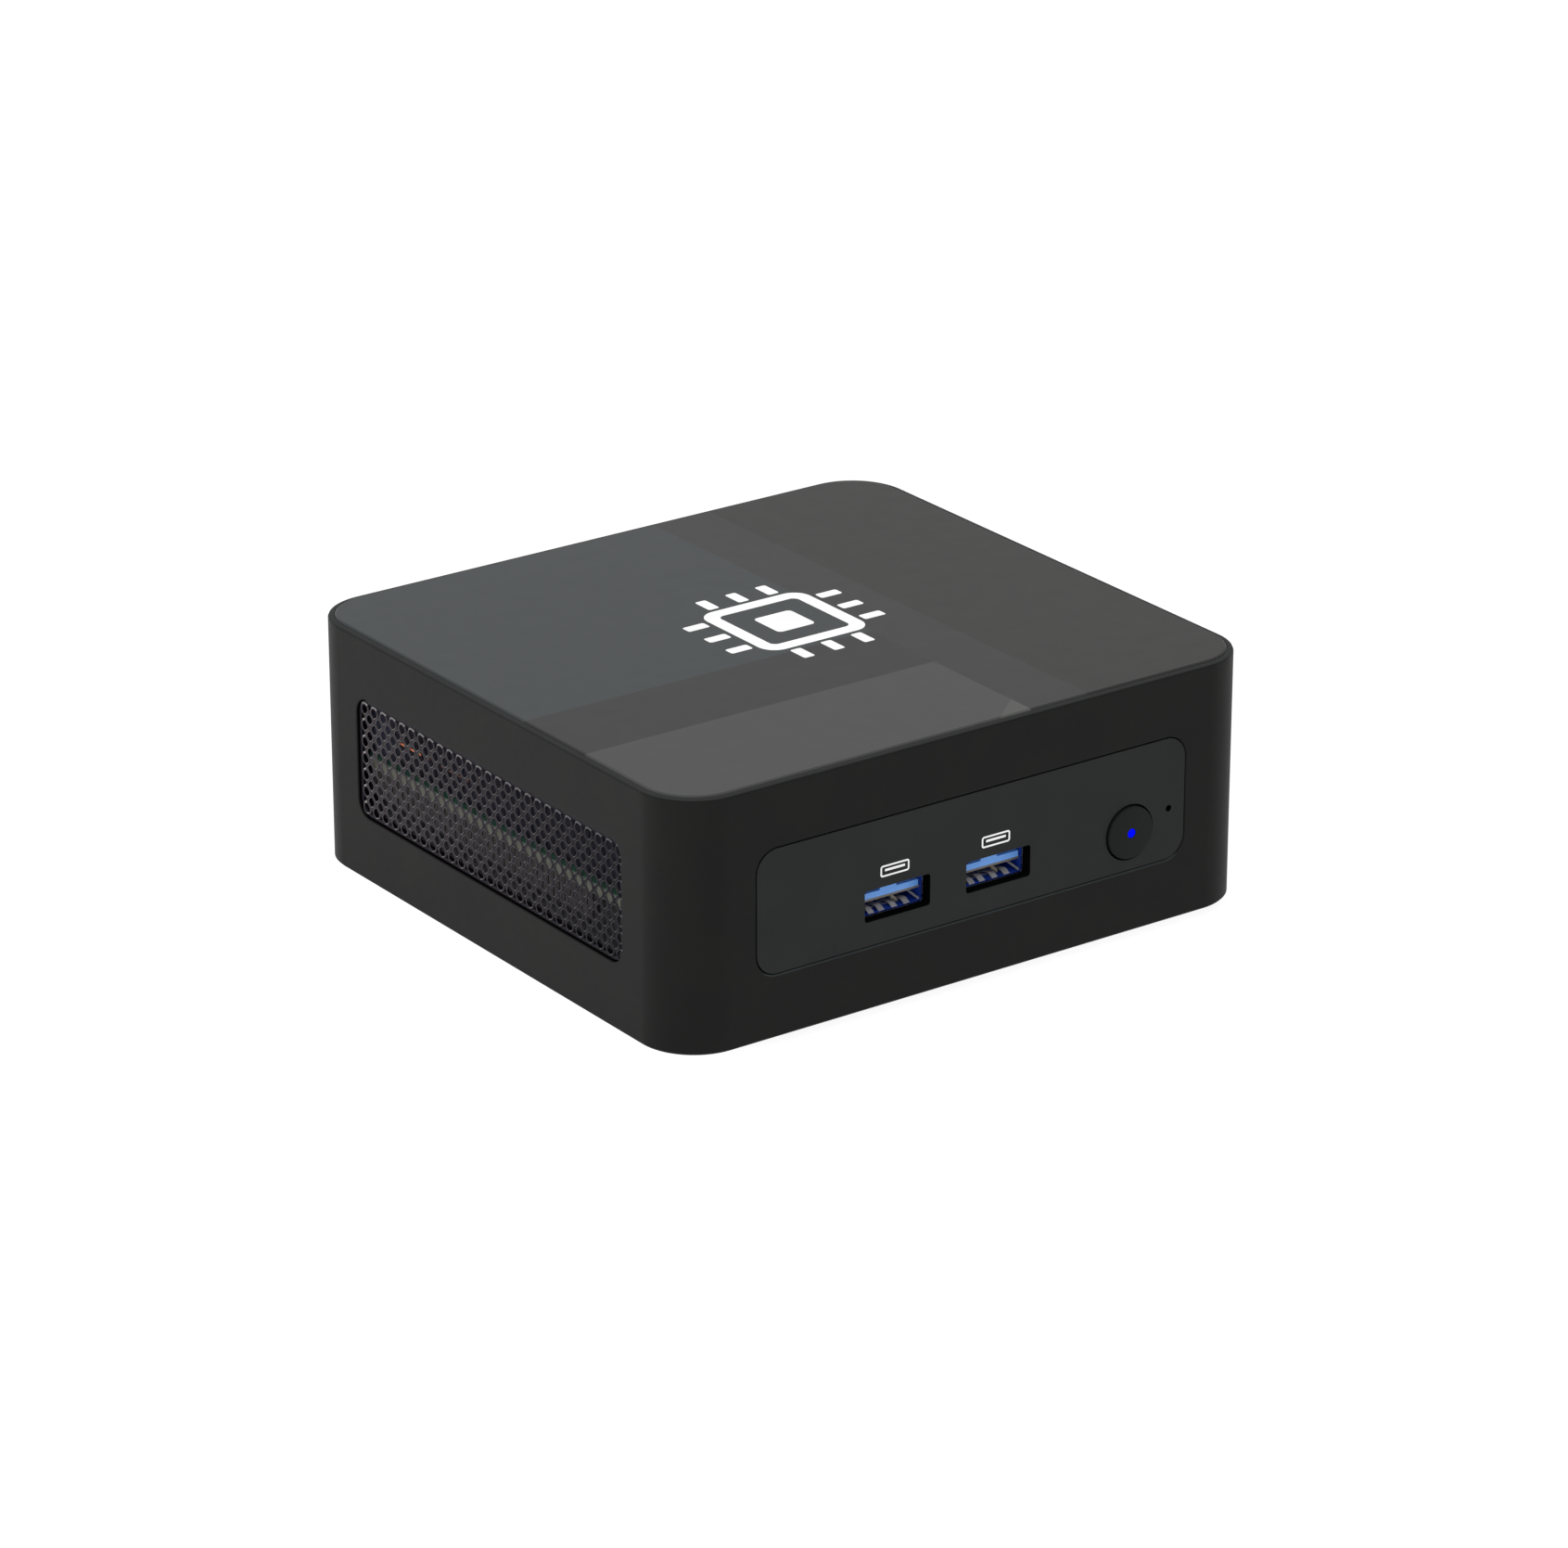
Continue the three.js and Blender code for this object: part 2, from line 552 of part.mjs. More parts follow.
function stackShell() {
  const openings = [STACK.lower, STACK.upper].map((z) =>
    middleBlock(USB.width, [-1, STACK.depth - USB.wall], [z - USB.height / 2, z + USB.height / 2]));
  return cut(middleBlock(STACK.width, [0, STACK.depth], [ON_BOARD, ON_BOARD + STACK.height]), ...openings);
}

const stack = onRear(STACK.x);
add("rear_usb_stack_shell", stackShell(), STEEL, stack);
for (const level of ["lower", "upper"]) {
  add(`rear_usb_${level}_insulator`, usbInsulator(STACK[level], STACK.depth), SOCKET_BLACK, stack);
}

function videoInsulator() {
  const { z, depth, wall } = VIDEO;
  return join(
    middleBlock(12.8, [8.6, depth - wall - 0.2], [z - 1.9, z + 1.9]),
    middleBlock(11.6, [0.6, 9], [z - 0.5, z + 0.6]),
  );
}

for (const which of ["first", "second"]) {
  const socket = onRear(VIDEO[which]);
  add(`${which}_video_shell`, socketShell(VIDEO, VIDEO.z), STEEL, socket);
  add(`${which}_video_insulator`, videoInsulator(), SOCKET_BLACK, socket);
}

// ---------------------------------------------------------------- other rear sockets
function ethernetJack() {
  const { width, height, depth } = ETHERNET;
  const low = ON_BOARD + PLUG_MOUTH.low;
  return cut(
    middleBlock(width, [0, depth], [ON_BOARD, ON_BOARD + height]),
    middleBlock(PLUG_MOUTH.width, [-1, PLUG_MOUTH.depth], [low, low + PLUG_MOUTH.height]),
    middleBlock(LATCH_SLOT.width, [-1, LATCH_SLOT.depth], [ON_BOARD + LATCH_SLOT.low, low + 1]),
  );
}
add("ethernet_jack", ethernetJack(), STEEL, onRear(ETHERNET.x));

// A block with a round blind bore, and a collar round the bore that passes through the panel.
function roundSocket({ width, height, depth, bore, boreDepth, z }) {
  const front = -SOCKET_SET - COLLAR.proud;
  return cut(
    join(
      middleBlock(width, [0, depth], [ON_BOARD, ON_BOARD + height]),
      pin(bore + COLLAR.wall, [front, 1], 0, z, 16),
    ),
    pin(bore, [front - 1, boreDepth], 0, z, 16),
  );
}
add("audio_jack", roundSocket(AUDIO), SOCKET_BLACK, onRear(AUDIO.x));
const powerJack = onRear(POWER.x);
add("power_jack", roundSocket(POWER), SOCKET_BLACK, powerJack);
const powerPin = pin(POWER_PIN.radius, [POWER_PIN.front, POWER_PIN.back], 0, POWER.z);
add("power_jack_pin", powerPin, STEEL, powerJack);

// ---------------------------------------------------------------- main board and processor
function mainBoard() {
  const { hole, holeX, holeY } = BOARD;
  const holes = CORNERS.map(({ sx, sy }) => circlePoints(hole, sx * holeX, sy * holeY, 12));
  const outline = roundedPoints(2 * BOARD.x, 2 * BOARD.y, BOARD.corner, 0, 0, 2);
  return slab(outline, BOARD.low, BOARD.low + BOARD.thickness, holes);
}
add("main_board", mainBoard(), BOARD_GREEN);

const processorPlace = at(PROCESSOR.x, PROCESSOR.y, 0);

function processor() {
  const { size, carrier, dieWidth, dieDepth, top } = PROCESSOR;
  return join(
    middleBlock(size, [-size / 2, size / 2], [ON_BOARD, ON_BOARD + carrier]),
    middleBlock(dieWidth, [-dieDepth / 2, dieDepth / 2], [ON_BOARD + carrier / 2, ON_BOARD + top]),
  );
}
add("processor", processor(), SILICON, processorPlace);

// ---------------------------------------------------------------- cold plate, heat pipe and fins
function coldPlate() {
  const { width, depth, corner, low, thickness } = COLD_PLATE;
  return slab(roundedPoints(width, depth, corner, 0, 0, 3), low, low + thickness);
}
add("cold_plate", coldPlate(), COPPER, processorPlace);

// The pipe runs from behind the left vent, across the cold plate, to under the fins.
function heatPipe() {
  const { width, height, low, edge, bend } = PIPE;
  const { leftX, leftY, crossY, rightX, rightY } = PIPE_ROUTE;
  const middle = new THREE.Path();
  middle.moveTo(leftX, leftY);
  middle.lineTo(leftX, crossY + bend);
  middle.absarc(leftX + bend, crossY + bend, bend, Math.PI, 1.5 * Math.PI, false);
  middle.lineTo(rightX - bend, crossY);
  middle.absarc(rightX - bend, crossY - bend, bend, 0.5 * Math.PI, 0, true);
  middle.lineTo(rightX, rightY);
  const steps = 30;
  const ribbon = (half) => {
    const side = (way) => Array.from({ length: steps + 1 }, (_, i) => {
      const along = middle.getTangentAt(i / steps);
      const across = new THREE.Vector2(along.y, -along.x).multiplyScalar(way * half);
      return middle.getPointAt(i / steps).add(across);
    });
    return [...side(1), ...side(-1).reverse()];
  };
  return loft([
    { outline: ribbon(width / 2 - edge), z: low },
    { outline: ribbon(width / 2), z: low + edge },
    { outline: ribbon(width / 2), z: low + height - edge },
    { outline: ribbon(width / 2 - edge), z: low + height },
  ]);
}
add("heat_pipe", heatPipe(), COPPER);

function finStack() {
  const { width, length, low, high, count, thickness, floor } = FINS;
  const pitch = (length - thickness) / (count - 1);
  const fins = Array.from({ length: count }, (_, i) => {
    const y = i * pitch - length / 2;
    return middleBlock(width, [y, y + thickness], [low, high]);
  });
  return join(middleBlock(width, [-length / 2, length / 2], [low, low + floor]), ...fins);
}
add("fin_stack", finStack(), ALUMINIUM, at(FINS.x, 0, 0));

// ---------------------------------------------------------------- blower
const fan = at(FAN.x, 0, 0);

// Half round at the left, with straight sides to the outlet at the right.
function fanOutline(radius, outlet) {
  const arc = Array.from({ length: 19 }, (_, i) => {
    const turn = Math.PI * (0.5 + i / 18);
    return new THREE.Vector2(radius * Math.cos(turn), radius * Math.sin(turn));
  });
  return [...arc, new THREE.Vector2(outlet, -radius), new THREE.Vector2(outlet, radius)];
}

function fanHousing() {
  const { low, floor, top, radius, outlet, skin, leg, shaft } = FAN;
  const tray = cut(
    slab(fanOutline(radius, outlet), low, top),
    slab(fanOutline(radius - skin, outlet + 1), low + floor, top + 1),
  );
  const legs = FAN_LEGS.map(([x, y]) => rod(leg, ON_BOARD, low + floor / 2, x, y, 12));
  return join(tray, ...legs, rod(shaft, low + floor / 2, ROTOR.low + ROTOR_BORE.depth - 0.4, 0, 0, 12));
}
add("fan_housing", fanHousing(), FAN_BLACK, fan);

function fanCover() {
  const { low, thickness, hole } = FAN_LID;
  return slab(fanOutline(FAN.radius, FAN.outlet), low, low + thickness, [circlePoints(hole, 0, 0, 24)]);
}
add("fan_cover", fanCover(), ALUMINIUM, fan);

// Hub, disc and swept blades. Each blade leans back as it goes out.
function fanRotor() {
  const { low, top, radius, disc, discThickness, hub, blades } = ROTOR;
  const sweep = [[disc - 1, 0], [radius, -0.22], [radius, -0.17], [disc - 1, 0.06]];
  const bladeAt = (turn) => sweep.map(([r, lean]) =>
    new THREE.Vector2(r * Math.cos(turn + lean), r * Math.sin(turn + lean)));
  const vaneAt = (_, i) => slab(bladeAt((i / blades) * 2 * Math.PI), low, top);
  const vanes = Array.from({ length: blades }, vaneAt);
  const floor = rod(disc, low, low + discThickness, 0, 0, 2 * blades);
  const wheel = join(rod(hub, low, top, 0, 0, 24), floor, ...vanes);
  return cut(wheel, rod(ROTOR_BORE.radius, low - 1, low + ROTOR_BORE.depth, 0, 0, 12));
}
add("fan_rotor", fanRotor(), FAN_BLACK, fan);

// ---------------------------------------------------------------- cards under the board
const memory = at(0, MEMORY.y, 0);

function memorySocket() {
  const { width, height, front, back, arm, armLength } = MEMORY;
  const low = UNDER_BOARD - height;
  const arms = [-1, 1].map((s) =>
    middleBlock(arm, [0, armLength], [low + 0.8, UNDER_BOARD]).translate((s * (width - arm)) / 2, 0, 0));
  const whole = join(middleBlock(width, [front, back], [low, UNDER_BOARD]), ...arms);
  return cut(whole, middleBlock(MODULE.width + 2, [MODULE.front - 0.4, back + 1], [low + 1.4, low + 3.2]));
}
add("memory_socket", memorySocket(), SOCKET_BLACK, memory);

function memoryModule() {
  const { width, front, back, below, thickness, chip, chipY } = MODULE;
  const low = UNDER_BOARD - below;
  const chips = [-22, -8, 8, 22].map((x) =>
    middleBlock(chip, [chipY, chipY + chip], [low - 1, low + thickness / 2]).translate(x, 0, 0));
  return join(middleBlock(width, [front, back], [low, low + thickness]), ...chips);
}
add("memory_module", memoryModule(), BOARD_GREEN, memory);

const ssd = at(0, SSD.y, 0);
const ssdLow = UNDER_BOARD - SSD.below;

function ssdSocket() {
  const { socketLeft, socketWidth, socketDepth, socketHeight } = SSD;
  const half = socketDepth / 2;
  return cut(
    block([socketLeft, -half, UNDER_BOARD - socketHeight], [socketLeft + socketWidth, half, UNDER_BOARD]),
    block([socketLeft + 3, -half - 1, ssdLow - 0.2], [socketLeft + socketWidth + 1, half + 1, ssdLow + 1]),
  );
}
add("ssd_socket", ssdSocket(), SOCKET_BLACK, ssd);

function ssdModule() {
  const card = block([SSD.socketLeft + 3.4, -11, ssdLow], [SSD.cardRight, 11, ssdLow + CARD.thickness]);
  const chips = [[-26, -14], [-8, 10], [14, 32]].map(([x0, x1]) =>
    block([x0, -7, ssdLow - CARD.chipBelow], [x1, 7, ssdLow + CARD.chipInto]));
  return cut(join(card, ...chips), rod(1.9, ssdLow - 1, ssdLow + 2, SSD.cardRight, 0, 12));
}
add("ssd_module", ssdModule(), CARD_BLUE, ssd);

function ssdScrew() {
  return join(
    rod(2.8, ssdLow + 1.1, UNDER_BOARD, 0, 0, 12),
    rod(1.6, ssdLow - 0.5, ssdLow + 1.5, 0, 0, 12),
    rod(2.6, ssdLow - 1.1, ssdLow - 0.3, 0, 0, 12),
  );
}
add("ssd_screw", ssdScrew(), STEEL, at(SSD.cardRight, 0, 0, ssd));

function radioCard() {
  const { width, depth, below, canWidth, canDepth } = RADIO;
  const low = UNDER_BOARD - below;
  return join(
    middleBlock(width, [-depth / 2, depth / 2], [low, low + CARD.thickness]),
    middleBlock(canWidth, [-canDepth / 2, canDepth / 2], [low - CARD.chipBelow, low + CARD.chipInto]),
  );
}
add("radio_card", radioCard(), CARD_BLUE, at(RADIO.x, RADIO.y, 0));

const clockBattery = rod(CLOCK.radius, UNDER_BOARD - CLOCK.height, UNDER_BOARD, 0, 0, 20);
add("clock_battery", clockBattery, WRAP, at(CLOCK.x, CLOCK.y, 0));

// ---------------------------------------------------------------- aerials and leads
const aerialBack = INNER_Y - GAP;
for (const [side, way] of [["left", -1], ["right", 1]]) {
  const strip = middleBlock(
    AERIAL.length, [aerialBack - AERIAL.thickness, aerialBack], [AERIAL.low, AERIAL.low + AERIAL.height]);
  add(`aerial_${side}`, strip, GILT, at(way * AERIAL.x, 0, 0));
}

const leftLeadRoute = [
  [-40, 33, 8.4], [-46, 32.5, 8.6], [-49.6, 32, 12], [-50, 32, 20], [-50, 33, 30],
  [-49, 38, 36], [-44, 45, 37], [-36, 49.2, 36.6],
];
const rightLeadRoute = [
  [-40, 29, 8.4], [-46, 28.5, 8.6], [-50.4, 28, 12], [-51, 28, 20], [-50.6, 29, 28], [-48, 35, 33.5],
  [-40, 43, 34.6], [-20, 46.8, 34.8], [0, 47.2, 34.8], [10, 48.6, 35], [13, 49.2, 35.2],
];
const fanLeadRoute = [
  [-16.4, -10, 25], [-21, -12, 24], [-24, -16, 20], [-24.5, -20, 16.6], [-24.5, -24, 15.6],
];
add("aerial_lead_left", lead(leftLeadRoute, LEAD.aerial, 20), LEAD_GREY);
add("aerial_lead_right", lead(rightLeadRoute, LEAD.aerial, 36), LEAD_GREY);
add("fan_lead", lead(fanLeadRoute, LEAD.fan, 10), LEAD_GREY);

export default computer;
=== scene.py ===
"""Looks of a palm-sized desktop computer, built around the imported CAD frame.

Lengths in this script are millimetres in the CAD's own frame, and become metres where a mesh is made.
The floor, its glow and the lamp are in metres.
"""

import json
import math

import bmesh
import bpy
from mathutils import Matrix, Vector


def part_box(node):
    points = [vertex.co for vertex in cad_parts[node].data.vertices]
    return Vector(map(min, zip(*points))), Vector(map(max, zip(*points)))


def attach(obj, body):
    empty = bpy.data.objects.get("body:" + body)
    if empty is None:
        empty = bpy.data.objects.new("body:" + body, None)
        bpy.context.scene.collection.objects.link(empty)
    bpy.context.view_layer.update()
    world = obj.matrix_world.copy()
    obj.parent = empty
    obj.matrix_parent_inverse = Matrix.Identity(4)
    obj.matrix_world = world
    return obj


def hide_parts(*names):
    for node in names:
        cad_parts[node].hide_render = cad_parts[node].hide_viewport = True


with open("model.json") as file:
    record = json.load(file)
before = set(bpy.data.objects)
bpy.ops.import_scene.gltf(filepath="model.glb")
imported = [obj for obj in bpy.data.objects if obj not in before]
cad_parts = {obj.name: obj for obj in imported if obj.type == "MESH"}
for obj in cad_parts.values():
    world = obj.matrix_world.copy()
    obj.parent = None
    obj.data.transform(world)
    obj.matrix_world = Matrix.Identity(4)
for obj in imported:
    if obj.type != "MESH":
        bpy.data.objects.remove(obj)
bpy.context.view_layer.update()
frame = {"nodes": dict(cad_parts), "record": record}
nodes = frame["nodes"]

MM = 0.001
CASE_BODY = "case"
STUDIO = {  # strengths of the sky's parts, the lamp overhead and the table's glow
    "sides": 0.56, "overhead": 0.98, "rear_left": 0.25, "panel": 1.8, "table": 0.93, "table_left": 1.4,
}


# ---- measures from the frame
class Box:
    """A CAD node's box in millimetres, with its middle."""

    def __init__(self, node):
        low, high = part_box(node)
        self.x0, self.y0, self.z0 = (v / MM for v in low)
        self.x1, self.y1, self.z1 = (v / MM for v in high)
        self.cx = (self.x0 + self.x1) / 2
        self.cy = (self.y0 + self.y1) / 2
        self.cz = (self.z0 + self.z1) / 2
        self.width = self.x1 - self.x0
        self.depth = self.y1 - self.y0
        self.height = self.z1 - self.z0


SHELL = Box("case_shell")
LID = Box("top_cover")
BASE = Box("base_cover")
CORNER = 10.0  # radius of the case's upright corners
WALL = 2.0
RIM = 1.05  # from the case's side to the lid's recess
RIM_DROP = 0.3  # the rim lies this much under the lid's top
CHAMFER = 0.45
LID_GAP = 0.04
LID_BEVEL = (0.42, 0.28)  # width and fall of the lid's slanted edge
LID_TOP = LID.z1 - 0.02  # leaves room for the printed mark
PANEL = {"width": 84.6, "height": 21.2, "corner": 4.0, "z": 22.5, "gap": 0.14, "face": 1.9, "flare": 0.3}
VENT = {"width": 76.0, "height": 20.9, "corner": 3.0, "z": 22.85, "recess": 0.3, "flare": 0.22}
USB_MOUTH = {"width": 12.5, "height": 5.12, "corner": 0.35}
SOCKET_SET = 2.1  # from a panel's outer face to the sockets behind it


# ---- outlines
def rounded(width, height, radius, cx=0.0, cy=0.0, steps=16):
    """The outline of a rectangle with round corners, anticlockwise."""
    points = []
    for quarter, (sx, sy) in enumerate(((1, 1), (-1, 1), (-1, -1), (1, -1))):
        for i in range(steps + 1):
            turn = (quarter + i / steps) * math.pi / 2
            x = cx + sx * (width / 2 - radius) + radius * math.cos(turn)
            y = cy + sy * (height / 2 - radius) + radius * math.sin(turn)
            points.append((x, y))
    return points


def circle(radius, cx=0.0, cy=0.0, sides=48):
    turns = (2 * math.pi * i / sides for i in range(sides))
    return [(cx + radius * math.cos(t), cy + radius * math.sin(t)) for t in turns]


def case_outline(inset):
    return rounded(SHELL.width - 2 * inset, SHELL.depth - 2 * inset, CORNER - inset, 0, SHELL.cy)


def opening(size, x, z, grow, steps):
    """The outline of a round-cornered opening, larger all round by grow."""
    return rounded(size["width"] + 2 * grow, size["height"] + 2 * grow, size["corner"] + grow, x, z, steps)


def window(size, grow=0.0):
    return opening(size, 0.0, size["z"], grow, 12)


def usb_mouth(x, z, grow=0.0):
    return opening(USB_MOUTH, x, z, grow, 4)


# ---- mesh helpers
SHARP = 35.0  # degrees: edges turned by more than this stay sharp, or are the ones to round


def facing_up(x, y, z):
    return (x, y, z)


def facing_front(x, z, y):
    return (x, y, z)


def facing_side(y, z, x):
    return (x, y, z)


def edit(piece, change):
    """Runs one bmesh change on a piece."""
    bm = bmesh.new()
    bm.from_mesh(piece.data)
    change(bm)
    bm.to_mesh(piece.data)
    bm.free()


def smooth(piece, angle=SHARP):
    for polygon in piece.data.polygons:
        polygon.use_smooth = True
    piece.data.set_sharp_from_angle(angle=math.radians(angle))


def in_scene(name, data):
    """A new object in the scene that shows the mesh, lamp or camera given."""
    made = bpy.data.objects.new(name, data)
    bpy.context.scene.collection.objects.link(made)
    return made


def mesh_from(name, points, faces):
    """A new object of these points, in millimetres, with its faces turned outwards."""
    mesh = bpy.data.meshes.new(name)
    mesh.from_pydata([Vector(p) * MM for p in points], [], faces)
    piece = in_scene(name, mesh)
    edit(piece, lambda bm: bmesh.ops.recalc_face_normals(bm, faces=bm.faces))
    return piece


def loft(name, rings, closed_round=False):
    """Joins rings of equal point count. Open lofts get a cap at each end."""
    count = len(rings[0])
    points = [p for ring in rings for p in ring]
    faces = []
    pairs = len(rings) if closed_round else len(rings) - 1
    for k in range(pairs):
        a, b = k * count, ((k + 1) % len(rings)) * count
        for i in range(count):
            j = (i + 1) % count
            faces.append((a + i, a + j, b + j, b + i))
    if not closed_round:
        faces.append(tuple(range(count)))
        faces.append(tuple(range(len(points) - count, len(points))))
    return mesh_from(name, points, faces)


def plate(name, outline, low, high, stand=facing_up):
    """A flat outline with thickness from low to high."""
    return loft(name, [[stand(a, b, level) for a, b in outline] for level in (low, high)])


def block(name, low, high):
    """A box from its lowest to its highest corner."""
    (x0, y0, z0), (x1, y1, z1) = low, high
    return plate(name, [(x0, y0), (x1, y0), (x1, y1), (x0, y1)], z0, z1)


def turned(name, profile, place, sides, towards_front=False):
    """A solid turned from (radius, height) points, which meet the axis or close on themselves."""
    points, rows = [], []
    for r, h in profile:
        turns = range(sides) if r > 0 else range(1)
        rows.append([len(points) + i for i in turns])
        for i in turns:
            t = 2 * math.pi * i / sides
            a, b = r * math.cos(t), r * math.sin(t)
            p = (a, -h, b) if towards_front else (a, b, h)
            points.append(tuple(u + v for u, v in zip(p, place)))
    faces = []
    pairs = list(zip(rows, rows[1:]))
    if profile[0][0] > 0:
        pairs.append((rows[-1], rows[0]))
    for lower, upper in pairs:
        for i in range(sides):
            j = (i + 1) % sides
            ring = [lower[i % len(lower)], lower[j % len(lower)]]
            ring += [upper[j % len(upper)], upper[i % len(upper)]]
            faces.append(tuple(dict.fromkeys(ring)))
    return mesh_from(name, points, [f for f in faces if len(f) > 2])


def swept(name, route, width, thickness):
    """A flat strip that follows a route in Y and Z, at one x: points are (x, y, z)."""
    rings = []
    for i, (x, y, z) in enumerate(route):
        before, after = route[max(i - 1, 0)], route[min(i + 1, len(route) - 1)]
        along = Vector((0, after[1] - before[1], after[2] - before[2])).normalized()
        up = Vector((0, -along.z, along.y)) * thickness / 2
        half = width / 2
        rings.append([
            (x - half, y - up.y, z - up.z), (x + half, y - up.y, z - up.z),
            (x + half, y + up.y, z + up.z), (x - half, y + up.y, z + up.z),
        ])
    return loft(name, rings)


def baked(piece):
    """Replaces a piece's mesh by what its modifiers make of it."""
    graph = bpy.context.evaluated_depsgraph_get()
    made = bpy.data.meshes.new_from_object(piece.evaluated_get(graph))
    piece.modifiers.clear()
    piece.data = made
    return piece


def boolean(piece, others, operation):
    for other in others:
        step = piece.modifiers.new(operation, "BOOLEAN")
        step.operation = operation
        step.solver = "EXACT"
        step.object = other
        bpy.context.view_layer.update()
        baked(piece)
        bpy.data.objects.remove(other)
    return piece


def cut(piece, *others):
    return boolean(piece, others, "DIFFERENCE")


def join(piece, *others):
    return boolean(piece, others, "UNION")


def gathered(name, pieces):
    """One object that holds several separate solids."""
    bm = bmesh.new()
    for piece in pieces:
        bm.from_mesh(piece.data)
        bpy.data.objects.remove(piece)
    mesh = bpy.data.meshes.new(name)
    bm.to_mesh(mesh)
    bm.free()
    return in_scene(name, mesh)


def bevel(piece, width, segments, where=lambda middle: True):
    """Rounds the sharp edges whose middle passes the test."""

    def change(bm):
        chosen = [
            e for e in bm.edges
            if len(e.link_faces) == 2
            and e.calc_face_angle(0) > math.radians(SHARP)
            and where((e.verts[0].co + e.verts[1].co) / (2 * MM))
        ]
        bmesh.ops.bevel(
            bm, geom=chosen, offset=width * MM, segments=segments, profile=0.5,
            affect="EDGES", clamp_overlap=True)

    edit(piece, change)
    return piece


def turned_to_rear(piece):
    """Turns a piece made at the front half round, to the rear."""
    piece.data.transform(Matrix.Rotation(math.pi, 4, "Z"))
    return piece


def finished(piece, slot, look=None, body=CASE_BODY, replaces=()):
    """Shades a piece, gives it its slot's look or another, and lets it ride on its body."""
    smooth(piece)
    normals = piece.modifiers.new("normals", "WEIGHTED_NORMAL")
    normals.keep_sharp = True
    baked(piece)
    piece.data.materials.clear()
    piece.data.materials.append(look or SLOT_LOOKS[slot])
    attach(piece, body)
    if replaces:
        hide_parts(*replaces)
    return piece


# ---- material helpers
class Graph:
    """A node tree under construction."""

    def __init__(self, tree):
        self.tree = tree

    def node(self, kind, **settings):
        made = self.tree.nodes.new("ShaderNode" + kind)
        for key, value in settings.items():
            setattr(made, key, value)
        return made

    def put(self, target, value):
        """Sets a socket, or links it when the value is another node's output."""
        if isinstance(value, bpy.types.NodeSocket):
            self.tree.links.new(value, target)
        else:
            target.default_value = value

    def feed(self, node, **values):
        for key, value in values.items():
            self.put(node.inputs[key.replace("_", " ")], value)
        return node

    def axes(self, source):
        """A vector's X, Y and Z."""
        made = self.node("SeparateXYZ")
        self.put(made.inputs[0], source)
        return made.outputs

    def math(self, operation, a, b=0.0):
        made = self.node("Math", operation=operation)
        self.put(made.inputs[0], a)
        self.put(made.inputs[1], b)
        return made.outputs[0]

    def spread(self, source, low, high, start=0.3, end=0.7):
        """Maps start to end, where noise mostly lies, onto low to high."""
        made = self.node("MapRange")
        self.feed(made, Value=source, From_Min=start, From_Max=end, To_Min=low, To_Max=high)
        return made.outputs[0]

    def mix(self, share, a, b):
        """A colour between a and b."""
        made = self.node("Mix", data_type="RGBA")
        for name, value in (("Factor_Float", share), ("A_Color", a), ("B_Color", b)):
            self.put(next(s for s in made.inputs if s.identifier == name), value)
        return next(s for s in made.outputs if s.identifier == "Result_Color")


class Paint(Graph):
    """A material under construction: a Principled shader and the nodes that feed it."""

    def __init__(self, name, roughness, specular=0.5, metallic=0.0):
        self.material = bpy.data.materials.new(name)
        self.material.use_nodes = True
        super().__init__(self.material.node_tree)
        self.shader = self.tree.nodes["Principled BSDF"]
        self.feed(self.shader, Metallic=metallic, Roughness=roughness, Specular_IOR_Level=specular)
        self.place = self.node("TexCoord").outputs["Object"]

    def noise(self, size, detail=3.0):
        """Noise whose features are about size millimetres across."""
        made = self.node("TexNoise")
        self.feed(made, Vector=self.place, Scale=1 / (size * MM), Detail=detail, Roughness=0.5)
        return made.outputs["Fac"]

    def color(self, source):
        self.feed(self.shader, Base_Color=source)

    def blotched(self, size, dark, light):
        """Colours the surface in two close tones, in soft blotches of about this size."""
        self.color(self.mix(self.spread(self.noise(size), 0.0, 1.0), tone(*dark), tone(*light)))

    def rough(self, size, low, high):
        """Lets the roughness wander between low and high, in patches of about this size."""
        self.feed(self.shader, Roughness=self.spread(self.noise(size), low, high))

    def bump(self, source, height):
        """Raises the surface by the source times height, in millimetres."""
        made = self.node("Bump")
        self.feed(made, Strength=1.0, Distance=height * MM, Height=source)
        self.put(self.shader.inputs["Normal"], made.outputs["Normal"])


def tone(r, g, b):
    """A shader colour from an 8-bit display colour."""

    def linear(v):
        v /= 255
        return v / 12.92 if v <= 0.04045 else ((v + 0.055) / 1.055) ** 2.4

    return (linear(r), linear(g), linear(b), 1.0)


def moulded(name, dark, light, roughness, specular=0.3, grain=0.15, grain_height=0.002, blotch=9.0):
    """Moulded plastic: two close tones in soft blotches, and a fine even grain."""
    paint = Paint(name, roughness, specular)
    paint.blotched(blotch, dark, light)
    paint.rough(blotch / 6, roughness - 0.015, roughness + 0.015)
    paint.bump(paint.noise(grain, 2.0), grain_height)
    return paint.material


def metal(name, dark, light, roughness, streak=1.5):
    """Metal with soft streaks in its colour and roughness."""
    paint = Paint(name, roughness, metallic=1.0)
    paint.blotched(streak, dark, light)
    paint.rough(streak / 4, roughness - 0.07, roughness + 0.07)
    paint.bump(paint.noise(streak / 12), 0.002)
    return paint.material


# ---- special materials
LID_TONE_FIELDS = {  # where the tone fields end along X and Y, and the line that cuts off the triangle
    "left": 11.5, "band": 22.9, "back": -9.9, "near": -26.8, "slant": -1.196, "tip": 67.6,
}


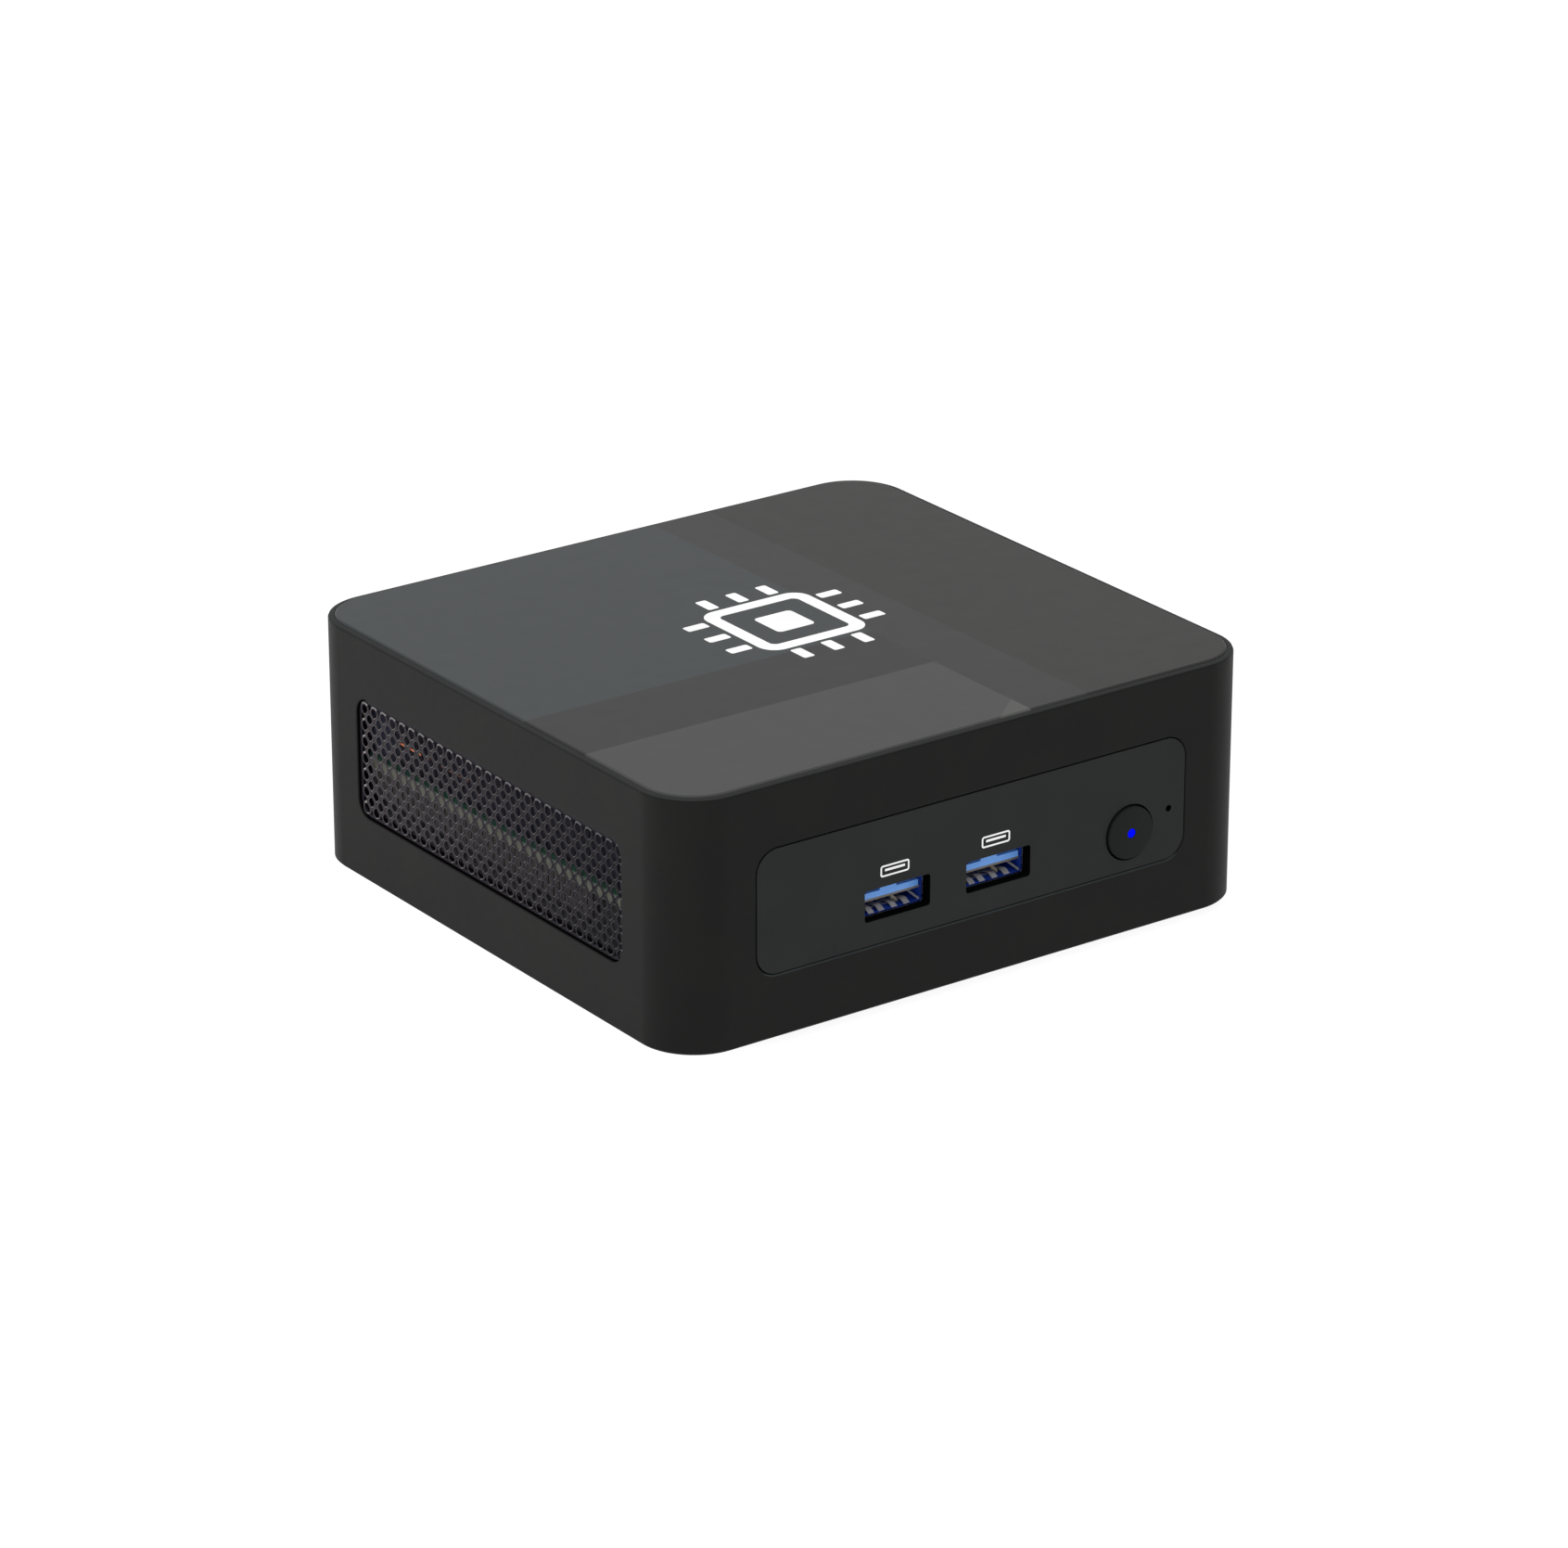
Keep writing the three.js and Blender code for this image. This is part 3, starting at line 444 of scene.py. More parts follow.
def lid_material():
    """Satin lid in close tones, laid out in fields: two quadrants, two bands, a plain field and a small
    triangle.
    """
    paint = Paint("lid_gloss", 0.32, 0.18)
    x, y, _ = paint.axes(paint.place)
    left = paint.math("LESS_THAN", x, LID_TONE_FIELDS["left"] * MM)
    before_right = paint.math("LESS_THAN", x, LID_TONE_FIELDS["band"] * MM)
    back = paint.math("GREATER_THAN", y, LID_TONE_FIELDS["back"] * MM)
    near = paint.math("LESS_THAN", y, LID_TONE_FIELDS["near"] * MM)
    slope = paint.math("ADD", paint.math("MULTIPLY", y, LID_TONE_FIELDS["slant"]), x)
    tip = paint.math("GREATER_THAN", slope, LID_TONE_FIELDS["tip"] * MM)
    field = paint.mix(before_right, tone(33, 32, 31), tone(42, 41, 41))
    banded = paint.mix(left, field, tone(37, 37, 37))
    with_back = paint.mix(paint.math("MULTIPLY", left, back), banded, tone(46, 51, 52))
    near_share = paint.math("MULTIPLY", left, near)
    with_near = paint.mix(near_share, with_back, tone(59, 59, 59))
    paint.color(paint.mix(paint.math("MULTIPLY", near_share, tip), with_near, tone(72, 72, 71)))
    paint.rough(4.0, 0.28, 0.32)
    paint.bump(paint.noise(0.3, 2.0), 0.0008)
    return paint.material


def laminate(name, mask_dark, mask_light, edge):
    """A circuit board: solder mask with fine tracks on its faces, pale bare laminate on its cut edge."""
    paint = Paint(name, 0.4, 0.4)
    tracks = paint.node("TexBrick", offset=0.37, squash=0.7)
    paint.feed(tracks, Vector=paint.place, Scale=1 / (6 * MM), Mortar_Size=0.035, Mortar_Smooth=0.1)
    paint.feed(tracks, Color1=tone(*mask_dark), Color2=tone(*mask_light), Mortar=tone(*mask_light))
    facing = paint.axes(paint.node("NewGeometry").outputs["Normal"])
    upright = paint.math("LESS_THAN", paint.math("ABSOLUTE", facing["Z"]), 0.5)
    paint.color(paint.mix(upright, tracks.outputs["Color"], tone(*edge)))
    paint.rough(1.5, 0.35, 0.5)
    paint.bump(tracks.outputs["Fac"], 0.03)
    return paint.material


def graded(name, first, last, roughness, specular, axis="Y", start=-38.0, end=38.0):
    """Paint whose tone shifts slowly along one axis, with fine speckle."""
    paint = Paint(name, roughness, specular)
    along = paint.spread(paint.axes(paint.place)[axis], 0.0, 0.85, start * MM, end * MM)
    speckle = paint.spread(paint.noise(1.2), 0.0, 0.15)
    paint.color(paint.mix(paint.math("ADD", along, speckle), tone(*first), tone(*last)))
    paint.rough(2.0, roughness - 0.05, roughness + 0.05)
    paint.bump(paint.noise(0.2, 2.0), 0.002)
    return paint.material


def lit_lens():
    """Blue plastic that glows, a little unevenly."""
    paint = Paint("lens_blue", 0.4, 0.0)
    glow = paint.mix(paint.spread(paint.noise(0.6), 0.0, 1.0), (0.0, 0.001, 1.0, 1), (0.0, 0.003, 1.0, 1))
    paint.feed(paint.shader, Base_Color=tone(0, 8, 60), Emission_Color=glow, Emission_Strength=1.0)
    paint.rough(0.8, 0.2, 0.3)
    return paint.material


CASE_BLACK = moulded("case_black", (20, 20, 20), (23, 23, 22), 0.55, 0.1)
BUTTON_BLACK = moulded("button_black", (25, 26, 26), (28, 29, 29), 0.55, 0.08)
# Near black: painted shade on the walls of the case's windows and the panels' holes.
HOLE_PAINTED_SHADE = moulded("hole_painted_shade", (6, 6, 6), (10, 10, 10), 0.6, 0.0)
# Web, crest and rim tones lighten towards the vent's rear end: painted light.
MESH_WEB_PAINTED_LIGHT = graded("mesh_web_painted_light", (12, 11, 15), (54, 49, 53), 0.6, 0.05)
# Painted highlight on the rims' lower inner slopes and on the border scallops' tops.
MESH_RIM_PAINTED_HIGHLIGHT = graded("mesh_rim_painted_highlight", (80, 78, 84), (146, 141, 140), 0.45, 0.2)
# Lighter than the web on the rings' crests: painted highlight.
MESH_CREST_PAINTED_HIGHLIGHT = graded("mesh_crest_painted_highlight", (50, 49, 55), (82, 79, 82), 0.5, 0.1)
MESH_WALL = moulded("mesh_wall", (12, 11, 13), (17, 16, 18), 0.6, 0.05, grain=0.2, blotch=2.0)
MESH_BACKING = moulded("mesh_backing", (16, 13, 21), (21, 18, 27), 0.5, 0.1)
MARK_WHITE = moulded(
    "mark_white", (240, 240, 240), (252, 252, 252), 0.5, 0.3, grain=0.3, grain_height=0.001)
# Darker blue than the tongue it is moulded with: painted shade inside the socket.
LINER_BLUE_PAINTED_SHADE = moulded("liner_blue_painted_shade", (18, 52, 150), (26, 66, 175), 0.35, 0.5, grain=0.2, blotch=2.0)
SPRING_METAL = moulded("spring_metal", (148, 148, 152), (176, 176, 182), 0.35, 0.6, blotch=1.0)
LIP_METAL = moulded("lip_metal", (96, 90, 84), (112, 106, 100), 0.35, 0.6, blotch=1.0)
SHIELD_COAT = moulded(
    "shield_coat", (84, 84, 98), (100, 100, 114), 0.5, 0.4, grain=0.3, grain_height=0.003, blotch=5.0)
# A little lighter than the case: painted highlight on the rim's upward faces.
RIM_PAINTED_HIGHLIGHT = moulded("rim_painted_highlight", (25, 26, 27), (28, 29, 30), 0.5, 0.15)
# Lighter, bluish tone on the windows' upward-facing lower edges: painted highlight.
SILL_PAINTED_HIGHLIGHT = moulded("sill_painted_highlight", (34, 39, 40), (38, 43, 44), 0.45, 0.2)
DIE_BLACK = moulded("chip_black", (26, 26, 28), (36, 36, 39), 0.45, 0.4, grain=0.1, blotch=1.5)
TAN_CERAMIC = moulded("ceramic_tan", (150, 120, 84), (176, 146, 104), 0.4, 0.5, grain=0.1, blotch=0.8)
SOLDER_GREY = metal("solder_grey", (150, 150, 150), (190, 190, 188), 0.35, streak=0.8)
GASKET_GREY = moulded(
    "gasket_grey", (58, 55, 54), (68, 65, 63), 0.6, 0.3, grain=0.3, grain_height=0.01, blotch=2.0)
# Lighter towards the rear end, where the case's wall shades the screen: painted light.
SCREEN_BLUE_PAINTED_LIGHT = graded("screen_blue_painted_light", (28, 28, 38), (84, 84, 104), 0.7, 0.1, "Y", start=31.0, end=40.0)
# Lighter towards the bottom, where the window's sill shades the screen: painted light.
SCREEN_GREY_PAINTED_LIGHT = graded("screen_grey_painted_light", (120, 120, 122), (40, 40, 42), 0.7, 0.1, "Z", start=10.5, end=14.0)
DULL_COPPER = moulded(
    "dull_copper", (104, 62, 50), (132, 78, 62), 0.5, 0.4, grain=0.2, grain_height=0.003, blotch=1.0)
CARD_GREEN = laminate("card_green", (66, 106, 88), (78, 120, 102), (110, 112, 98))

SLOT_LOOKS = {
    "case_plastic": CASE_BLACK,
    "lid_plastic": lid_material(),
    "panel_plastic": moulded("panel_black", (33, 34, 34), (36, 37, 37), 0.5, 0.1),
    "mesh_paint": MESH_WEB_PAINTED_LIGHT,
    "foot_rubber": moulded(
        "foot_rubber", (24, 24, 25), (32, 32, 33), 0.8, 0.25, grain=0.25, grain_height=0.01, blotch=4.0),
    "screw_steel": metal("screw_steel", (52, 52, 54), (74, 74, 76), 0.35),
    "socket_steel": metal("socket_steel", (170, 172, 176), (205, 206, 210), 0.28),
    "usb_blue": moulded("tongue_blue", (104, 164, 244), (114, 172, 250), 0.4, 0.4, grain=0.2, blotch=2.0),
    "socket_black": moulded("socket_black", (20, 20, 20), (27, 27, 27), 0.45, 0.35),
    "contact_gilt": metal("contact_gilt", (196, 164, 92), (226, 198, 124), 0.25),
    "blue_lens": lit_lens(),
    "board_laminate": laminate("board_laminate", (24, 92, 62), (34, 112, 76), (150, 152, 128)),
    "card_laminate": laminate("card_laminate", (20, 62, 96), (28, 78, 116), (140, 138, 112)),
    "copper": metal("copper", (206, 112, 78), (232, 142, 104), 0.3),
    "fin_aluminium": metal("fin_aluminium", (160, 160, 162), (196, 196, 198), 0.35),
    "fan_plastic": moulded("fan_plastic", (26, 26, 27), (34, 34, 35), 0.5, 0.3),
    "silicon": metal("silicon", (70, 74, 84), (96, 100, 112), 0.18),
    "battery_wrap": metal("battery_wrap", (168, 168, 170), (204, 204, 206), 0.3),
    "lead_jacket": moulded("lead_jacket", (34, 34, 36), (46, 46, 48), 0.5, 0.4),
}


def dress_cad_nodes():
    for subpart in frame["record"]["subparts"]:
        materials = nodes[subpart["node"]].data.materials
        materials.clear()
        materials.append(SLOT_LOOKS[subpart["material_slot"]])


dress_cad_nodes()


# ---- case shell
def window_cutter(size, face, outward, stand, segments):
    """Cuts a window through a wall, with its outer edge rounded by the window's flare."""
    past, flare = 1.0, size["flare"]
    levels = [(0.0, WALL + past), (0.0, flare)]
    for i in range(1, segments + 1):
        t = i / segments * math.pi / 2
        levels.append((flare * (1 - math.cos(t)), flare * (1 - math.sin(t))))
    levels.append((flare, -past))
    return loft("cutter", [
        [stand(a, b, face - outward * depth) for a, b in window(size, grow)] for grow, depth in levels
    ])


LID_SEAT = SHELL.z1 - 1.9
BASE_SEAT = SHELL.z0 + 2.1
SHELL_LOOKS = {
    "outside": CASE_BLACK,
    "inside": SHIELD_COAT,
    # painted highlight on the windows' lower edges
    "sill": SILL_PAINTED_HIGHLIGHT,
    # painted shade on the windows' walls
    "window": HOLE_PAINTED_SHADE,
    # painted highlight on the rim's upward faces
    "rim": RIM_PAINTED_HIGHLIGHT,
}


def shell_look(polygon):
    """Which of the shell's looks a face has, by where it lies and where it faces."""
    x, y, z = polygon.center / MM
    facing = polygon.normal
    from_side, from_front = SHELL.x1 - abs(x), SHELL.y1 - abs(y)
    within_walls = min(from_side, from_front) > WALL - 0.1 and BASE_SEAT + 0.1 < z < LID_SEAT
    if within_walls and facing.x * x + facing.y * y < 0:
        return "inside"
    sill = PANEL["z"] - PANEL["height"] / 2
    # The upward-facing lower edge of a panel window takes a painted highlight.
    if from_front < 0.4 and facing.z > 0.15 and sill - 0.4 < z < sill + 0.5:
        return "sill"
    # The rim's upward faces take a painted highlight.
    if z > SHELL.z1 - RIM_DROP - CHAMFER and facing.z > 0.5:
        return "rim"
    # The windows' walls take painted shade.
    in_panel_window = abs(x) < 43 and abs(facing.y) < 0.2 and 0.3 < from_front < WALL
    in_vent_window = abs(y) < 39 and abs(facing.x) < 0.2 and 0.2 < from_side < WALL
    window_height = 11 < z < 34
    return "window" if window_height and (in_panel_window or in_vent_window) else "outside"


def case_shell():
    """The walls with their rim, the ledge under the lid, the step for the base, and four windows."""
    low, rim_top = SHELL.z0, SHELL.z1 - RIM_DROP
    ledge_low, ledge_inset = LID_SEAT - 1.3, 4.0
    base_inset, foot_edge = 1.4, 0.3
    profile = [
        (foot_edge, low), (0.0, low + foot_edge),
        (0.0, rim_top - CHAMFER), (CHAMFER * 0.3, rim_top - CHAMFER * 0.3),
        (CHAMFER, rim_top), (RIM, rim_top + 0.05),
        (RIM, LID_SEAT), (ledge_inset, LID_SEAT), (ledge_inset, ledge_low), (WALL, ledge_low),
        (WALL, BASE_SEAT), (base_inset, BASE_SEAT), (base_inset, low),
    ]
    rings = [[(x, y, z) for x, y in case_outline(inset)] for inset, z in profile]
    shell = loft("case_outer", rings, closed_round=True)
    for outward in (-1, 1):
        cut(
            shell,
            window_cutter(PANEL, outward * SHELL.y1, outward, facing_front, 3),
            window_cutter(VENT, outward * SHELL.x1, outward, facing_side, 4),
        )
    bevel(shell, 0.08, 2, lambda m: m.z > rim_top + 0.04)
    finished(shell, "case_plastic", replaces=("case_shell",))
    for look in list(SHELL_LOOKS.values())[1:]:
        shell.data.materials.append(look)
    kinds = list(SHELL_LOOKS)
    for polygon in shell.data.polygons:
        polygon.material_index = kinds.index(shell_look(polygon))


# ---- lid and its mark
def lid():
    """The lid's plate, with its slanted edge."""
    inset = RIM + LID_GAP
    low = LID.z1 - 1.6
    width, fall = LID_BEVEL
    levels = [
        (inset, low), (inset, LID_TOP - fall), (inset + 0.05, LID_TOP - fall + 0.08),
        (inset + width - 0.1, LID_TOP - 0.03), (inset + width, LID_TOP),
    ]
    piece = loft("lid_plate", [[(x, y, z) for x, y in case_outline(i)] for i, z in levels])
    finished(piece, "lid_plastic", replaces=("top_cover",))


def lid_mark():
    """A plain picture of a chip: a ring with a square in it, and three pins on each side."""
    cx, cy = 2.7, 1.85
    low, top = LID_TOP - 0.08, LID.z1
    ring, stroke, core = 20.6, 2.5, 7.4
    pin_width, pin_length, pitch = 2.1, 4.2, 6.0
    parts = [cut(
        plate("ring", rounded(ring, ring, 3.2, cx, cy, 8), low, top),
        plate("cutter", rounded(ring - 2 * stroke, ring - 2 * stroke, 1.2, cx, cy, 8), low - 1, top + 1),
    )]
    parts.append(plate("core", rounded(core, core, 0.9, cx, cy, 8), low, top))
    away = ring / 2 + 0.9 + pin_length / 2
    for i in (-1, 0, 1):
        for sign in (-1, 1):
            across = rounded(pin_width, pin_length, 0.4, cx + i * pitch, cy + sign * away, 4)
            along = rounded(pin_length, pin_width, 0.4, cx + sign * away, cy + i * pitch, 4)
            parts += [plate("pin", across, low, top), plate("pin", along, low, top)]
    finished(gathered("lid_mark", parts), "lid_plastic", MARK_WHITE)


# ---- connector panels
def usb_hole(x, z):
    return rounded(12.7, 5.3, 0.5, x, z, 6)


def video_outline(x, z, grow=0.0):
    """Wide at the top, with its two lower corners cut off."""
    half, low, high = 7.05 + grow, -2.3 - grow, 2.3 + grow
    shoulder, foot = 0.2 - grow * 0.4, 5.5 + grow * 0.6
    corners = [(half, high), (-half, high), (-half, shoulder), (-foot, low), (foot, low), (half, shoulder)]
    return [(x + a, z + b) for a, b in corners]


def panel_plate(name, holes):
    """A panel's face with its openings, at the front."""
    face = SHELL.y0
    piece = plate(name, window(PANEL, -PANEL["gap"]), face, face + PANEL["face"], facing_front)
    cut(piece, *(plate("cutter", hole, face - 1, face + PANEL["face"] + 1, facing_front) for hole in holes))
    return bevel(piece, 0.09, 2, lambda m: abs(m.y - face) < 0.01)


def paint_shade_in_holes(piece):
    """Gives the walls of a panel's holes a darker look: painted shade."""
    piece.data.materials.append(HOLE_PAINTED_SHADE)
    edge = PANEL["width"] / 2 - PANEL["gap"] - 0.5
    low, top = (PANEL["z"] + side * (PANEL["height"] / 2 - PANEL["gap"] - 0.5) for side in (-1, 1))
    for polygon in piece.data.polygons:
        x, _, z = polygon.center / MM
        if abs(polygon.normal.y) < 0.3 and abs(x) < edge and low < z < top:
            polygon.material_index = 1


def panel_ring(name):
    """What holds a panel in its window: a ring behind the plate and a lap inside the wall."""
    front, lap_front, back = SHELL.y0 + PANEL["face"], SHELL.y0 + 2.3, SHELL.y0 + 3.3
    ring = plate(name, window(PANEL, -0.3), front, back, facing_front)
    lap = plate("lap", window(PANEL, 1.4), lap_front, back, facing_front)
    return cut(join(ring, lap), plate("cutter", window(PANEL, -1.8), front - 1, back + 1, facing_front))


FRONT_USB = {side: Box(f"front_usb_{side}_shell") for side in ("left", "right")}
PIPE = Box("power_light_pipe")
RESET = Box("reset_switch_plunger")
REAR_SOCKETS = {
    name: -Box(node).cx for name, node in (
        ("power", "power_jack"), ("first_video", "first_video_shell"),
        ("second_video", "second_video_shell"), ("ethernet", "ethernet_jack"),
        ("stack", "rear_usb_stack_shell"), ("audio", "audio_jack"))
}
STACK_LEVELS = {"lower": 18.9, "upper": 26.5}
VIDEO_Z = Box("first_video_shell").cz
ETHERNET = {"width": 11.8, "low": 19.3, "top": 26.1, "latch": 6.2, "latch_low": 17.3}
ROUND_SOCKETS = {"power": {"bore": 2.9, "z": 20.6, "node": "power_jack"},
                 "audio": {"bore": 1.8, "z": 18.6, "node": "audio_jack"}}
COLLAR_WALL = 0.45


def front_panel():
    """The front plate with its two USB openings, the button's bore and the reset pinhole."""
    piece = panel_plate("front_panel_face", [
        *(usb_hole(box.cx, box.cz) for box in FRONT_USB.values()),
        circle(4.75, PIPE.cx, PIPE.cz, 96),
        circle(0.55, RESET.cx, RESET.cz, 24),
    ])
    paint_shade_in_holes(finished(piece, "panel_plastic", replaces=("front_panel",)))
    finished(panel_ring("front_panel_ring"), "panel_plastic")


def network_hole():
    x = REAR_SOCKETS["ethernet"]
    low, top = ETHERNET["latch_low"] - 0.3, ETHERNET["top"] + 0.3
    return rounded(ETHERNET["width"] + 0.6, top - low, 0.4, x, (low + top) / 2, 4)


def rear_panel():
    holes = [usb_hole(REAR_SOCKETS["stack"], z) for z in STACK_LEVELS.values()]
    holes += [video_outline(REAR_SOCKETS[f"{which}_video"], VIDEO_Z, 0.15) for which in ("first", "second")]
    holes.append(network_hole())
    for name, socket in ROUND_SOCKETS.items():
        holes.append(circle(socket["bore"] + COLLAR_WALL + 0.15, REAR_SOCKETS[name], socket["z"]))
    face = turned_to_rear(panel_plate("rear_panel_face", holes))
    paint_shade_in_holes(finished(face, "panel_plastic", replaces=("rear_panel",)))
    finished(turned_to_rear(panel_ring("rear_panel_ring")), "panel_plastic")


# ---- port symbols
def port_symbol(side):
    """A plain picture of the socket below it: an outline with the tongue's bar inside."""
    box = FRONT_USB[side]
    cx, cz = box.cx - 0.6, box.cz + 5.3
    width, height, stroke = 5.6, 1.95, 0.29
    front, back = SHELL.y0 - 0.015, SHELL.y0 + 0.06
    outer = plate("outline", rounded(width, height, 0.45, cx, cz, 6), front, back, facing_front)
    inner = rounded(width - 2 * stroke, height - 2 * stroke, 0.2, cx, cz, 6)
    ring = cut(outer, plate("cutter", inner, front - 1, back + 1, facing_front))
    bar = plate("bar", rounded(3.9, 0.4, 0.08, cx, cz + 0.12, 3), front, back, facing_front)
    finished(gathered(f"{side}_port_symbol", [ring, bar]), "panel_plastic", MARK_WHITE)


# ---- USB sockets
def usb_can(name, x, z, depth):
    """The socket's folded metal tube: closed at the back, its mouth slightly flared."""
    front, back, wall = SHELL.y0 + SOCKET_SET, SHELL.y0 + SOCKET_SET + depth, 0.3
    levels = [(wall, back), (wall, front), (0.12, front), (0.0, front + 0.5), (0.0, back - wall)]
    return loft(name, [
        [(a, y, b) for a, b in usb_mouth(x, z, grow)] for grow, y in levels
    ])


def usb_tongue(name, x, z, depth):
    """The tongue with its stepped front edge, on the moulding that fills the socket's back."""
    y0 = SHELL.y0 + SOCKET_SET
    root, back = y0 + 9.6, y0 + depth - 0.6
    low, step, top = z - 0.06, z + 1.0, z + 1.95
    half, middle, filling, filling_height = 5.86, 1.6, 6.05, 2.35
    body = block(name, (x - filling, root, z - filling_height), (x + filling, back, z + filling_height))
    lower = block("lower", (x - half, y0 + 0.4, low), (x + half, root + 0.5, step))
    upper = block("upper", (x - half, y0 + 1.2, step - 0.1), (x + half, root + 0.5, top))
    nose = block("nose", (x - middle, y0 + 0.4, step - 0.2), (x + middle, root + 0.5, top - 0.02))
    return bevel(join(body, lower, upper, nose), 0.06, 2)


LEAF_PLACES = (-3.5, -1.5, 1.0, 3.4)


def usb_liner(name, x, z):
    """The moulding's floor and sides, seen round the plug's way."""
    y0, y1 = SHELL.y0 + SOCKET_SET + 0.15, SHELL.y0 + SOCKET_SET + 9.4
    outer, inner = 6.2, 6.1
    low, floor_top, side_top = z - 2.52, z - 2.4, z + 2.45
    floor = block(name, (x - outer, y0, low), (x + outer, y1, floor_top))
    for sign in (-1, 1):
        low_x, high_x = sorted((x + sign * inner, x + sign * outer))
        floor = join(floor, block("side", (low_x, y0, low), (high_x, y1, side_top)))
    return floor


def usb_springs(name, x, z):
    """Leaf springs on the floor, each humped towards the plug, in a raised frame, and one at the side."""
    y0 = SHELL.y0 + SOCKET_SET
    leaf_width, leaf_thickness = 1.1, 0.14
    frame_y, frame_low, frame_top = y0 + 3.1, z - 2.41, z - 2.33
    route = [(3.6, -2.38), (2.6, -2.1), (1.7, -1.85), (1.05, -1.9), (0.35, -2.28), (0.12, -2.4)]
    parts = []
    for place in LEAF_PLACES:
        leaf_x = x + place
        points = [(leaf_x, y0 + y, z + dz) for y, dz in route]
        parts.append(swept("leaf", points, leaf_width, leaf_thickness))
        rim = plate("rim", rounded(1.9, 2.4, 0.25, leaf_x, frame_y, 3), frame_low, frame_top)
        hole = rounded(1.4, 1.9, 0.15, leaf_x, frame_y, 3)
        parts.append(cut(rim, plate("cutter", hole, z - 3, z)))
    section = ((-0.16, -0.1), (0.16, -0.1), (0.16, 0.1), (-0.16, 0.1))
    side = ((4.7, 2.9, -0.9), (5.3, 1.6, -1.6), (5.9, 0.4, -2.3))
    parts.append(loft("side_leaf", [
        [(x + a + da, y0 + b, z + c + dc) for da, dc in section] for a, b, c in side
    ]))
    return gathered(name, parts)


def usb_contacts(name, x, z):
    """The metal lip under the tongue's front edge, the rounded contacts behind it, and a small barrel."""
    y0 = SHELL.y0 + SOCKET_SET
    parts = [block("lip", (x - 6.0, y0 + 0.5, z - 0.46), (x + 6.05, y0 + 1.7, z - 0.07))]
    route = ((9.0, -0.15), (5.0, -0.25), (3.4, -0.6), (2.7, -0.95), (2.1, -0.85), (1.6, -0.4))
    width, thickness = 1.0, 0.16
    for place in (-3.5, -1.0, 1.0, 3.5):
        parts.append(swept("contact", [(x + place, y0 + y, z + dz) for y, dz in route], width, thickness))
    middles = ((0.7, 0.95, -0.75), (1.2, 0.85, -1.05), (1.75, 0.75, -1.6))
    parts.append(loft("barrel", [
        [(x + a, y0 + b + u * 0.7, z + c + v) for u, v in circle(0.42, sides=16)] for a, b, c in middles
    ]))
    return gathered(name, parts)


def front_usb(side):
    box = FRONT_USB[side]
    x, z, depth = box.cx, box.cz, box.depth
    name = f"front_usb_{side}"
    finished(usb_can(f"{name}_can", x, z, depth), "socket_steel", replaces=(f"{name}_shell",))
    finished(usb_tongue(f"{name}_tongue", x, z, depth), "usb_blue", replaces=(f"{name}_insulator",))
    finished(usb_liner(f"{name}_liner", x, z), "usb_blue", LINER_BLUE_PAINTED_SHADE)
    finished(usb_springs(f"{name}_springs", x, z), "socket_steel", SPRING_METAL)
    leaves = usb_contacts(f"{name}_leaves", x, z)
    finished(leaves, "contact_gilt", LIP_METAL, replaces=(f"{name}_contacts",))


def socket_block(name, box, x, depth, corner=0.4):
    """A rear socket's outer block, made at the front."""
    y0 = SHELL.y0 + SOCKET_SET
    return plate(name, rounded(box.width, box.height, corner, x, box.cz, 4), y0, y0 + depth, facing_front)


def rear_usb_stack():
    """Two sockets in one steel can, one above the other."""
    x = REAR_SOCKETS["stack"]
    box = Box("rear_usb_stack_shell")
    y0, depth = SHELL.y0 + SOCKET_SET, box.depth
    can = socket_block("rear_usb_stack_can", box, x, depth)
    for z in STACK_LEVELS.values():
        cut(can, plate("cutter", usb_mouth(x, z), y0 - 1, y0 + depth - 0.3, facing_front))
    bevel(can, 0.12, 2, lambda m: abs(m.y - y0) < 0.01)
    finished(turned_to_rear(can), "socket_steel", replaces=("rear_usb_stack_shell",))
    for level, z in STACK_LEVELS.items():
        name = f"rear_usb_{level}"
        tongue = turned_to_rear(usb_tongue(f"{name}_tongue", x, z, depth))
        finished(tongue, "socket_black", replaces=(f"{name}_insulator",))
        finished(turned_to_rear(usb_springs(f"{name}_springs", x, z)), "socket_steel", SPRING_METAL)
        finished(turned_to_rear(usb_contacts(f"{name}_leaves", x, z)), "contact_gilt", SPRING_METAL)


# ---- other rear sockets
def video_socket(which):
    """A steel can with a tongue in its middle, and a row of contacts on each side of it."""
    x, z = REAR_SOCKETS[f"{which}_video"], VIDEO_Z
    y0, depth, wall = SHELL.y0 + SOCKET_SET, 12.0, 0.35
    levels = [(0.0, y0 + depth), (0.0, y0), (-wall, y0), (-wall, y0 + depth - wall)]
    can = loft(f"{which}_video_can", [
        [(a, y, b) for a, b in video_outline(x, z, grow + 0.05)] for grow, y in levels
    ])
    finished(turned_to_rear(can), "socket_steel", replaces=(f"{which}_video_shell",))
    back_half, tongue_half = 5.2, 5.8
    back = block(
        f"{which}_video_tongue", (x - back_half, y0 + 8.6, z - 1.4), (x + back_half, y0 + 11.4, z + 1.8))
    tongue = block("tongue", (x - tongue_half, y0 + 0.6, z - 0.5), (x + tongue_half, y0 + 9.0, z + 0.6))
    moulding = turned_to_rear(bevel(join(back, tongue), 0.1, 2))
    finished(moulding, "socket_black", replaces=(f"{which}_video_insulator",))
    width, front, back_end = 0.45, y0 + 0.9, y0 + 8.5
    leads = []
    for i in range(10):
        left = x - 4.7 + i
        for low, high in ((z + 0.58, z + 0.66), (z - 0.56, z - 0.48)):
            leads.append(block("lead", (left, front, low), (left + width, back_end, high)))
    finished(turned_to_rear(gathered(f"{which}_video_contacts", leads)), "contact_gilt")


